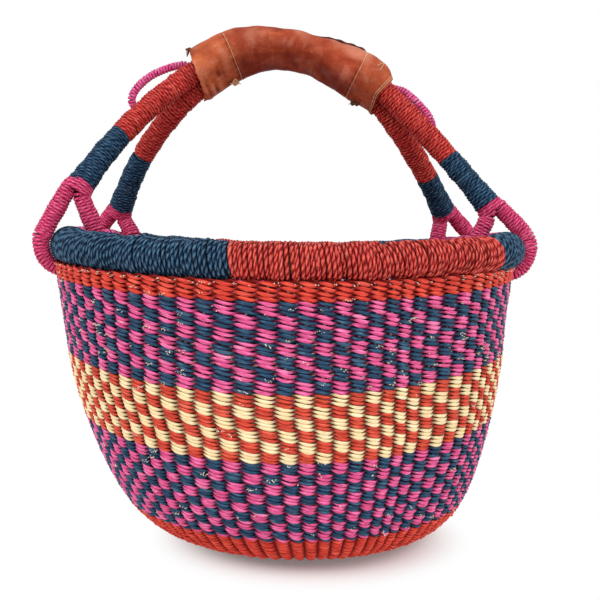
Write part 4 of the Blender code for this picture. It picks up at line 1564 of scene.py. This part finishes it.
@dataclass
class LoopStrands:
    """The thin wound strand that loops out of each end of the grip."""

    handle: Handle
    radius: float = 0.0033
    end_radius: float = 0.0018
    proud: float = 0.0002
    pitch: float = 0.0025
    inside: float = 0.0030
    left_tuck: float = 0.60
    right_tuck: float = 0.50
    right_turns: tuple = (65, 30, 14, 12, 24, 56, 84)
    left_turns: tuple = (55, 84)
    left_shares: tuple = (
        (0.07, 0.105),
        (0.24, 0.205),
        (0.45, 0.285),
        (0.65, 0.315),
        (0.82, 0.300),
        (0.92, 0.250),
        (0.96, 0.160),
    )
    seed: int = 5

    def on_leg(self, name: str, at: float, turn: float, radius: float) -> np.ndarray:
        """A point of a strand that lies on a leg.

        Args:
            name: The leg's foot.
            at: The length up the leg.
            turn: Degrees back from the leg's upper side.
            radius: The strand's radius there.

        Returns:
            The point on the strand's middle line.
        """
        line = self.handle.leg_up(name)[0]
        spot, ahead = sampled(line, np.array([at, at + self.radius]))
        climb = unit(ahead - spot)
        behind = unit(np.array([0, 1.0, 0]) - climb * climb[1])
        above = np.cross(behind, climb)
        above *= math.copysign(1, above[2])
        angle = math.radians(turn)
        reach = self.handle.leg_radius + radius + self.handle.seat
        return spot + reach * (math.cos(angle) * above + math.sin(angle) * behind)

    def routes(self) -> dict[str, np.ndarray]:
        """Draws both strands' middle lines.

        Returns:
            The points of each, by the name of its node.
        """
        leg = self.handle.leg_up("front_left")[1]
        first, last = self.left_turns
        start = self.on_leg("front_left", leg + self.inside, first, self.end_radius)
        mouth = self.on_leg("front_left", leg, first, self.end_radius)
        tuck = self.on_leg("front_left", leg * self.left_tuck, last, self.radius)
        chord = tuck - mouth
        span = np.linalg.norm(chord)
        lift = unit(np.array([0, 0, 1.0]) - unit(chord) * unit(chord)[2])
        bowed = [mouth + chord * way + lift * bow * span for way, bow in self.left_shares]
        left = [start, mouth, *bowed, tuck]
        leg = self.handle.leg_up("front_right")[1]
        stops = np.linspace(leg, leg * self.right_tuck, len(self.right_turns))
        first, spots = self.right_turns[0], zip(stops, self.right_turns)
        right = [self.on_leg("front_right", leg + self.inside, first, self.end_radius)]
        right += [self.on_leg("front_right", *spot, self.radius) for spot in spots]
        return {"left_loop_strand": smooth_route(left), "right_loop_strand": smooth_route(right)}

    def wind(self) -> None:
        """Winds both strands."""
        rng = np.random.default_rng(self.seed)
        straw = Winding(
            self.pitch, half_wide=0.00148, half_thick=0.00120, points=12, wobble=0.00012
        )
        for name, route in self.routes().items():
            spine = Spine(resampled(route, 70), (0, 1.0, 0))

            def reach(along: np.ndarray, angle: np.ndarray) -> np.ndarray:
                """The strand's outer radius, which is squeezed thin under the leather."""
                grown = eased((along - self.inside) / (2 * self.radius))
                return self.end_radius + (self.radius + self.proud - self.end_radius) * grown

            mesh = StrawMesh()
            straw.lay(mesh, spine, reach, 0.0, spine.length, rng, tone=0.6)
            pink = self.handle.dyes.get(Straw.PINK, Cord.SINGLE)
            settle(mesh.piece(name, pink), "straw_pink", name)


@dataclass
class Grip:
    """The leather sheet rolled round both hoops, with the threads that tie it."""

    handle: Handle
    radius: float = 0.0145
    fullness: tuple = (1.075, 1.04, 1.04, 0.86, 0.76, 0.79, 0.94, 1.04, 0.82)
    drop_left: float = 0.0014
    drop_right: float = 0.0033
    thickness: float = 0.0013
    overlap: float = 0.0070
    stations: int = 168
    around: int = 112
    view_tilt: float = 0.21
    marks: tuple = (
        (0.010, -0.75, -0.0011, 0.0013, 0.35),
        (0.030, -0.70, 0.0009, 0.0015, 0.35),
        (0.048, -0.88, -0.0011, 0.0014, 0.25),
        (0.074, -0.80, 0.0009, 0.0022, 0.25),
        (0.094, -0.36, -0.0011, 0.0018, 0.11),
        (0.078, -0.10, 0.0008, 0.0030, 0.20),
        (0.125, -0.30, -0.0006, 0.0015, 0.40),
        (0.155, 0.10, 0.0006, 0.0035, 0.50),
        (0.240, -0.30, -0.0006, 0.0028, 0.50),
        (0.300, 0.55, 0.0005, 0.0040, 0.30),
        (0.465, 0.50, 0.0004, 0.0015, 0.22),
        (0.492, 0.28, 0.0004, 0.0019, 0.20),
        (0.520, 0.45, -0.0006, 0.0014, 0.30),
        (0.560, 0.30, 0.0005, 0.0016, 0.25),
        (0.600, 0.18, 0.0006, 0.0030, 0.07),
        (0.680, -0.10, -0.0006, 0.0030, 0.40),
        (0.770, -0.20, -0.0005, 0.0025, 0.50),
        (0.940, 0.95, 0.0034, 0.0100, 0.75),
        (0.955, -0.85, -0.0008, 0.0020, 0.25),
    )
    wave_count: int = 34
    wave_lengths: tuple = (0.006, 0.034)
    wave_height: float = 0.0105
    puckers: int = 22
    deepest: float = 0.0012
    ring_places: tuple = (0.195, 0.845)
    edge_places: tuple = (0.985, 0.994)
    ring_slant: float = 0.008
    edge_slant: float = 0.026
    left_hem: tuple = (0.026, 0.030)
    right_hem: float = 0.028
    tick_place: float = 0.918
    tick_leans: tuple = (0.010, -0.012)
    tick_offset: float = 0.0235
    pale_knot: tuple = (0.158, 0.425, 0.0025)
    dark_knots: tuple = ((0.922, 0.415, 0.0021), (0.944, 0.415, 0.0016))
    tuft_hairs: int = 7
    tuft_offset: float = 0.0185
    seam_ends: tuple = (0.57, 0.865)
    seam_offset: float = 0.0135
    thread_radius: float = 0.00028
    seed: int = 71
    line: np.ndarray = field(init=False)

    def __post_init__(self) -> None:
        """Finds the leather's middle line and draws its small waves."""
        line = self.handle.grip_line()
        drops = np.linspace(self.drop_left, self.drop_right, len(line))
        self.line = line - self.handle.upward(line) * drops[:, None]
        rng = np.random.default_rng(self.seed)
        lengths = rng.uniform(*self.wave_lengths, self.wave_count)
        turns = rng.normal(0.9, 0.9, self.wave_count)
        phases = rng.uniform(0, FULL_TURN, self.wave_count)
        steps = (np.cos(turns) / lengths, np.sin(turns) / lengths)
        self.waves = np.stack([*steps, phases, lengths * self.wave_height])
        self.ragged = rng.normal(0, 1, 64)

    @property
    def length(self) -> float:
        """The length of the leather along its middle line."""
        return float(lengths_along(self.line)[-1])

    def radius_at(self, share: np.ndarray) -> np.ndarray:
        """Finds half the height of the leather's section.

        Args:
            share: Places along the grip, from 0 to 1.

        Returns:
            The radius of its arcs there.
        """
        count = len(self.line)
        spots = np.interp(share, np.linspace(0, 1, count), np.linspace(-1, 1, count))
        places = [place for place, _ in self.handle.line_shares]
        ranks = np.interp(spots, np.linspace(-1, 1, len(places)), places)
        return self.radius * np.interp(ranks, places, self.fullness)

    def slant(self, share: np.ndarray) -> np.ndarray:
        """The slant of the section, whose back hoop lies lower than its front one."""
        slants = np.arcsin(self.handle.drops(50) / self.handle.apart)
        return np.interp(share, np.linspace(0, 1, 50), slants)

    def shown(
        self, share: np.ndarray, held: np.ndarray, across: np.ndarray, top: np.ndarray
    ) -> tuple[np.ndarray, np.ndarray]:
        """Tells where points of the section appear from the front.

        Args:
            share: Places along the grip, from 0 to 1.
            held: The middle and the radius of each point's arc.
            across: How far each point faces the section's back, from -1 to 1.
            top: How far it faces the section's top.

        Returns:
            The level of each point, from 1 at the upper outline to -1 at the lower one,
            and how far it faces the front.
        """
        tilt = self.view_tilt + self.slant(share)
        aside, up = held[..., 0] + held[..., 1] * across, held[..., 1] * top
        half = held[..., 1] + self.handle.apart / 2 * np.sin(tilt)
        level = (up * np.cos(tilt) - aside * np.sin(tilt)) / half
        return level, -(across * np.cos(tilt) + top * np.sin(tilt))

    def relief(
        self,
        share: np.ndarray,
        around: np.ndarray,
        held: np.ndarray,
        across: np.ndarray,
        top: np.ndarray,
    ) -> np.ndarray:
        """How far the leather stands off its smooth form, from folds, dents and ties.

        Args:
            share: Places along the grip, from 0 to 1.
            around: Lengths round the section from the crest, in metres.
            held: The middle and the radius of each point's arc.
            across: How far each point faces the section's back, from -1 to 1.
            top: How far it faces the section's top.

        Returns:
            The heights, in metres.
        """
        along = share * self.length
        level, facing = self.shown(share, held, across, top)
        height = np.zeros_like(along)
        for kx, ky, phase, size in self.waves.T:
            height += 0.30 * size * np.sin(FULL_TURN * (kx * along + ky * around) + phase)
        front = eased(facing * 2 + 0.3)
        for place, mark_level, rise, wide, tall in self.marks:
            lean = 0.0022 * (level - mark_level)
            away = (along - place * self.length - lean) / wide
            height += rise * front * np.exp(-(away**2) - ((level - mark_level) / tall) ** 2)
        for number in range(self.puckers):
            place = (0.23 + 0.028 * number) * self.length + 0.0012 * math.sin(number * 2.4)
            ridge = 0.00016 * (-1) ** number * hump(along - place, 0.0012)
            height += ridge * eased(0.6 - level) * front
        for place in self.ring_places:
            away = along - place * self.length
            height -= 0.0005 * hump(away, 0.0011)
            height += 0.0003 * hump(away, 0.0035) * np.sin(around * FULL_TURN / 0.0075)
        height += 0.0006 * hump(along, 0.0020) * (1 + 0.6 * np.sin(around * 420))
        height -= 0.0004 * hump(along - self.length, 0.004)
        hollows = hump(share - 0.27, 0.13) + 0.8 * hump(share - 0.72, 0.16)
        height -= 0.0011 * eased(-level) * hollows
        height += 0.0016 * eased((level - 0.4) / 0.5) * hump(share - 0.80, 0.10)
        height -= 0.0010 * eased(level) * hump(share, 0.10)
        return np.maximum(height, -self.deepest)

    def section(
        self, share: np.ndarray, around: np.ndarray
    ) -> tuple[np.ndarray, np.ndarray, np.ndarray]:
        """Finds points of the long section that lies slantwise over both hoops.

        Args:
            share: Places along the grip, from 0 to 1.
            around: Lengths round the section from the crest, towards the back.

        Returns:
            The points, and how far each faces the back and up.
        """
        half, radius = self.handle.apart / 2, self.radius_at(share)
        bend = math.pi * radius
        whole = 2 * bend + 4 * half
        spot = np.mod(around, whole)
        back, under, front = half, half + bend, 3 * half + bend
        parts = [spot < back, spot < under, spot < front, spot < front + bend]
        still = 0 * spot
        angles = [still, (spot - back) / radius, still + math.pi, math.pi + (spot - front) / radius]
        middles = [spot, still + half, half - (spot - under), still - half]
        angle, middle = np.select(parts, angles, FULL_TURN), np.select(parts, middles, spot - whole)
        return np.stack([middle, radius], axis=-1), np.sin(angle), np.cos(angle)

    def surface(
        self, share: np.ndarray, around: np.ndarray, lift: np.ndarray | float = 0.0
    ) -> np.ndarray:
        """Places points of the leather.

        Args:
            share: Places along the grip, from 0 to 1.
            around: Lengths round the section from the crest.
            lift: How far they stand above the leather.

        Returns:
            The points in the frame of the CAD.
        """
        held, across, top = self.section(share, around)
        reach = held[..., 1] + self.relief(share, around, held, across, top) + lift
        sideways, upwards = held[..., 0] + reach * across, reach * top
        slant = self.slant(share)
        up = upwards * np.cos(slant) - sideways * np.sin(slant)
        back = sideways * np.cos(slant) + upwards * np.sin(slant)
        lengths = lengths_along(self.line) / self.length
        centre = read(lengths, self.line, share)
        first, last = unit(self.line[1] - self.line[0]), unit(self.line[-1] - self.line[-2])
        before, after = np.minimum(share, 0)[..., None], np.maximum(share - 1, 0)[..., None]
        centre += before * self.length * first + after * self.length * last
        normal = read(lengths, self.handle.upward(self.line), share)
        return centre + normal * up[..., None] + np.stack([0 * back, back, 0 * back], axis=-1)

    def whole_round(self, share: np.ndarray) -> np.ndarray:
        """The length once round the section."""
        return FULL_TURN * self.radius_at(share) + 2 * self.handle.apart

    def roll_leather(self) -> None:
        """Rolls a sheet of leather round the grip, its free edge along the crest."""
        bpy.ops.object.select_all(action="DESELECT")
        counts = {"x_subdivisions": self.stations, "y_subdivisions": self.around}
        bpy.ops.mesh.primitive_grid_add(**counts, size=1, location=(0, 0, 0))
        sheet = bpy.context.active_object
        sheet.name = sheet.data.name = "leather_grip"
        flat = np.zeros(len(sheet.data.vertices) * 3)
        sheet.data.vertices.foreach_get("co", flat)
        share, way = flat.reshape(-1, 3)[:, 0] + 0.5, flat.reshape(-1, 3)[:, 1] + 0.5
        whole = self.whole_round(share)
        around = -self.overlap / 2 + way * (whole + self.overlap)
        torn = np.interp(way, np.linspace(0, 1, len(self.ragged)), self.ragged) / self.length
        held, across, top = self.section(share, around)
        level = self.shown(share, held, across, top)[0]
        left, right = np.exp(-share / 0.012), np.exp((share - 1) / 0.008)
        share = share - 0.0005 * torn * left + 0.0003 * torn * right
        left = np.where(level > 0, *self.left_hem) * level * np.exp(-share / 0.07)
        right = self.right_hem * np.clip(-level, 0, 1) * np.exp((share - 1) / 0.05)
        share = share + left + right
        under = (self.thickness + 0.00025) * eased((0.0065 - around) / 0.006)
        edge = 0.00035 * eased((around - whole) / self.overlap + 0.5)
        places = self.surface(share, around, edge - under)
        sheet.data.vertices.foreach_set("co", places.ravel())
        # The fold attribute carries painted shade, dark in hollows and towards the lower side, and
        # a painted highlight that is pale on raised relief.
        relief = self.relief(share, around, held, across, top)
        smooth = np.tanh(relief / 0.0009) * (1 - 0.85 * eased((share - 0.84) / 0.06))
        left, right = np.clip(1 - share / 0.24, 0, 1), np.clip((share - 0.82) / 0.16, 0, 1)
        worn = np.clip(left**0.5 + 0.34 * right**0.7, 0, 1)
        underside_shade = 0.75 * np.clip(-level - 0.35, 0, 1) * (1 - 0.5 * worn)
        note(sheet.data, "worn", worn)
        note(sheet.data, "fold", np.clip(underside_shade - 0.95 * smooth, -1, 1))
        sheet.data.update()
        faces = sheet.data.polygons
        centres, normals = np.zeros(3 * len(faces)), np.zeros(3 * len(faces))
        faces.foreach_get("center", centres)
        faces.foreach_get("normal", normals)
        centres, normals = centres.reshape(-1, 3), normals.reshape(-1, 3)
        along = centres[:, 0]
        level = np.interp(along, self.line[:, 0], self.line[:, 2])
        axis = np.stack([along, 0 * along + self.handle.grip_setback, level], axis=1)
        if np.mean(np.sum((centres - axis) * normals, axis=1)) < 0:
            sheet.data.flip_normals()
        wall = sheet.modifiers.new("Wall", "SOLIDIFY")
        wall.thickness, wall.offset = self.thickness, -1.0
        bpy.ops.object.modifier_apply(modifier="Wall")
        sheet.data.shade_smooth()
        bpy.ops.object.shade_smooth_by_angle(angle=math.radians(50))
        sheet.data.materials.append(LeatherFinish().material())
        settle(sheet, "grip_leather", "leather_grip")

    def tie_threads(self) -> None:
        """Ties the pale rings, the double edge thread, the tick and the pale knot."""
        mesh = StrawMesh()
        for place in (*self.ring_places, *self.edge_places):
            turn = np.linspace(0, 1, 97)[:-1]
            share = np.full(96, place) + 0.0012 * np.sin(turn * FULL_TURN * 2 + place * 9)
            around = turn * self.whole_round(share)
            held, across, top = self.section(share, around)
            level, facing = self.shown(share, held, across, top)
            if place in self.edge_places:
                share = share + self.edge_slant * np.clip(-level, 0, 1)
            else:
                share = share + self.ring_slant * facing
            route = self.surface(share, around, self.thread_radius * 0.8)
            self.add_thread(mesh, route, closed=True)
        step = np.linspace(0, 1, 12)
        for lean in self.tick_leans:
            share = self.tick_place + lean * step
            around = self.whole_round(share) - self.tick_offset - 0.0065 * step
            self.add_thread(mesh, self.surface(share, around, self.thread_radius * 1.2), size=1.3)
        self.add_knot(mesh, *self.pale_knot)
        settle(mesh.piece("grip_threads", WAXED_THREAD.material()), "grip_leather")

    def tie_thongs(self) -> None:
        """Ties the dark knots under the right end and the frayed tuft at the left one."""
        mesh = StrawMesh()
        for knot in self.dark_knots:
            self.add_knot(mesh, *knot)
        step = np.linspace(0, 1, 8)
        for number in range(self.tuft_hairs):
            share = 0.036 - 0.034 * step * (0.55 + 0.09 * number)
            start = self.whole_round(share) - self.tuft_offset + 0.0006 * number
            around = start + 0.0022 * step * (number - 3)
            lift = 0.0008 + 0.0012 * step * np.sin(number)
            self.add_thread(mesh, self.surface(share, around, lift), size=1.7)
        settle(mesh.piece("grip_knots", DARK_THONG.material()), "grip_leather")

    def sew_seam(self) -> None:
        """Raises the dark seam a little in front of the crest."""
        mesh = StrawMesh()
        share = np.linspace(*self.seam_ends, 60)
        way = np.linspace(0, 1, 60)
        swell = np.minimum(eased(way * 2.2), eased((1 - way) * 7))
        swell = swell * (0.85 + 0.15 * np.sin(way * 31))
        route = self.surface(share, self.whole_round(share) - self.seam_offset, 0.0012 * swell)
        spine = Spine(route, (0, 0.2, 1.0))
        across = np.cross(spine.tangents, spine.sides)
        # The seam carries a slight painted shade.
        mesh.add(route, across, spine.sides, 0.0012, 0.0002 + 0.0015 * swell, 0.3, 0.9)
        settle(mesh.piece("grip_seam", DARK_SEAM.material()), "grip_leather")

    def add_thread(
        self, mesh: StrawMesh, route: np.ndarray, closed: bool = False, size: float = 1.0
    ) -> None:
        """Lays a thread along a route over the leather.

        Args:
            mesh: The mesh that the thread goes into.
            route: The points that it follows.
            closed: Whether it is a ring.
            size: How many times as thick as a common thread it is.
        """
        spine = Spine(route, (0.3, 0.2, 0.9))
        half = self.thread_radius * size
        mesh.add(route, spine.sides, spine.overs, half, half, 0.5, 1.0, closed)

    def add_knot(self, mesh: StrawMesh, share: float, turn: float, size: float) -> None:
        """Ties a small knot with two short ends.

        Args:
            mesh: The mesh of its thread.
            share: Its place along the grip.
            turn: Its place round the section, as a share from the crest.
            size: Half its width.
        """
        around = turn * self.whole_round(np.array([share]))
        centre = self.surface(np.array([share]), around, size * 0.8)[0]
        angle = np.linspace(0, FULL_TURN, 40)[:-1]
        reach = (2 + np.cos(3 * angle)) / 3 * size
        rise = np.sin(3 * angle) * size * 0.6
        aside, level = reach * np.cos(2 * angle), reach * np.sin(2 * angle)
        loop = centre + np.stack([aside, rise, level], axis=1)
        spine, half = Spine(loop, (0, 1.0, 0.2)), size * 0.34
        # The knot's loop carries a slight painted shade.
        mesh.add(loop, spine.sides, spine.overs, half, half, 0.45, 0.9, closed=True)
        for way in (-1, 1):
            step = np.linspace(0, 1, 6)[:, None]
            drop, bend = np.array([way * 1.7, -0.5, -1.2]), np.array([0, -0.4, 0.5])
            tail = centre + step * drop * size + step**2 * bend * size
            spine = Spine(tail, (0, 1.0, 0.2))
            mesh.add(tail, spine.sides, spine.overs, size * 0.30, size * 0.16, 0.8)

    def build(self) -> None:
        """Rolls the leather, ties its threads and thongs, and sews its seam."""
        self.roll_leather()
        self.tie_threads()
        self.tie_thongs()
        self.sew_seam()


@dataclass
class Studio:
    """The pale floor, the soft light and the camera."""

    distance: float = 0.748
    eye_height: float = 0.237
    pitch: float = 3.70
    roll: float = 0.80
    focal_pixels: float = 906.9
    shift_pixels: float = 3.0
    floor_size: float = 30.0
    shadow_middle: tuple = (0.008, -0.018, 0.0)
    fade: tuple = (0.076, 0.132, 0.15, 1.0)
    # A pinkish tint: painted bounce light from the basket's red straw, on the floor near the base.
    floor_and_bounce_colour: tuple = (0.95, 0.84, 0.835, 1.0)
    lamps: tuple = (
        ("key_lamp", 1.05, 0.6, (44, -28, -22)),
        ("fill_lamp", 0.95, 0.7, (46, 30, 24)),
    )
    world_colour: tuple = (1.0, 0.995, 0.985, 1.0)
    world_strength: float = 0.72

    def lay_floor(self) -> None:
        """Lays the floor, which fades into the white of the background."""
        bpy.ops.object.select_all(action="DESELECT")
        bpy.ops.mesh.primitive_plane_add(size=self.floor_size, location=(0, 0, 0))
        floor = bpy.context.active_object
        floor.name = "floor"
        made = Shading("pale_floor")
        place = made.node("ShaderNodeTexCoord").outputs["Object"]
        ends = {0: place, 1: self.shadow_middle}
        away = made.node("ShaderNodeVectorMath", ends, operation="DISTANCE").outputs["Value"]
        seen = made.seen_by("Is Camera Ray", "Is Glossy Ray", "Is Transmission Ray")
        share = made.maths("MULTIPLY", made.ranged(away, *self.fade), seen)
        white = made.node("ShaderNodeEmission", {"Color": WHITE, "Strength": 1.0}).outputs[0]
        made.set(Base_Color=self.floor_and_bounce_colour, Roughness=0.9, Specular_IOR_Level=0.1)
        made.show("Material Output", share, made.shader.outputs[0], white)
        floor.data.materials.append(made.material)

    def hang_lamps(self) -> None:
        """Hangs two broad lamps in a pale, even surrounding light."""
        for name, strength, spread, turn in self.lamps:
            lamp = bpy.data.lights.new(name, "SUN")
            lamp.energy, lamp.angle = strength, spread
            item = bpy.data.objects.new(name, lamp)
            item.rotation_euler = [math.radians(t) for t in turn]
            bpy.context.scene.collection.objects.link(item)
        world = bpy.data.worlds.new("surroundings")
        bpy.context.scene.world = world
        world.use_nodes = True
        made = Nodes(world.node_tree)
        light = made.tree.nodes["Background"]
        light.inputs[0].default_value = self.world_colour
        light.inputs[1].default_value = self.world_strength
        seen = made.seen_by("Is Camera Ray", "Is Transmission Ray")
        backdrop = made.node("ShaderNodeBackground", {0: WHITE}).outputs[0]
        made.show("World Output", seen, light.outputs[0], backdrop)

    def place_camera(self) -> None:
        """Places the camera as the photograph was taken."""
        data = bpy.data.cameras.new("camera")
        data.sensor_width = SENSOR_WIDTH
        data.lens = self.focal_pixels / PICTURE_SIZE * SENSOR_WIDTH
        data.shift_x = -self.shift_pixels / PICTURE_SIZE
        camera = bpy.data.objects.new("camera", data)
        cp, sp = math.cos(math.radians(self.pitch)), math.sin(math.radians(self.pitch))
        cr, sr = math.cos(math.radians(self.roll)), math.sin(math.radians(self.roll))
        right, up = Vector((cr, sr * sp, sr * cp)), Vector((-sr, cr * sp, cr * cp))
        turn = Matrix((right, up, Vector((0, -cp, sp)))).transposed().to_4x4()
        camera.matrix_world = Matrix.Translation((0, -self.distance, self.eye_height)) @ turn
        bpy.context.scene.collection.objects.link(camera)
        bpy.context.scene.camera = camera

    def build(self) -> None:
        """Sets the stage."""
        bpy.context.scene.view_settings.view_transform = "Standard"
        self.place_camera()
        self.lay_floor()
        self.hang_lamps()


def dress_cores() -> None:
    """Gives the grass ring, the hoops and the binding their own finish."""
    grass = GrassFinish().material()
    for name in ("rim_core", "front_hoop_core", "back_hoop_core", "grip_binding"):
        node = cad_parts[name]
        node.data.materials.clear()
        node.data.materials.append(grass)


def main() -> None:
    """Builds the stage and every piece of the basket."""
    logging.basicConfig(level=logging.INFO, format="%(message)s")
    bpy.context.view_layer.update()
    Studio().build()
    dress_cores()
    dyes = Dyes()
    bowl = Bowl(dyes)
    bowl.weave()
    rim = Rim(dyes, bowl)
    rim.wind()
    handle = Handle(dyes, bowl, rim)
    handle.build()
    LoopStrands(handle).wind()
    Grip(handle).build()


if __name__ == "__main__":
    main()
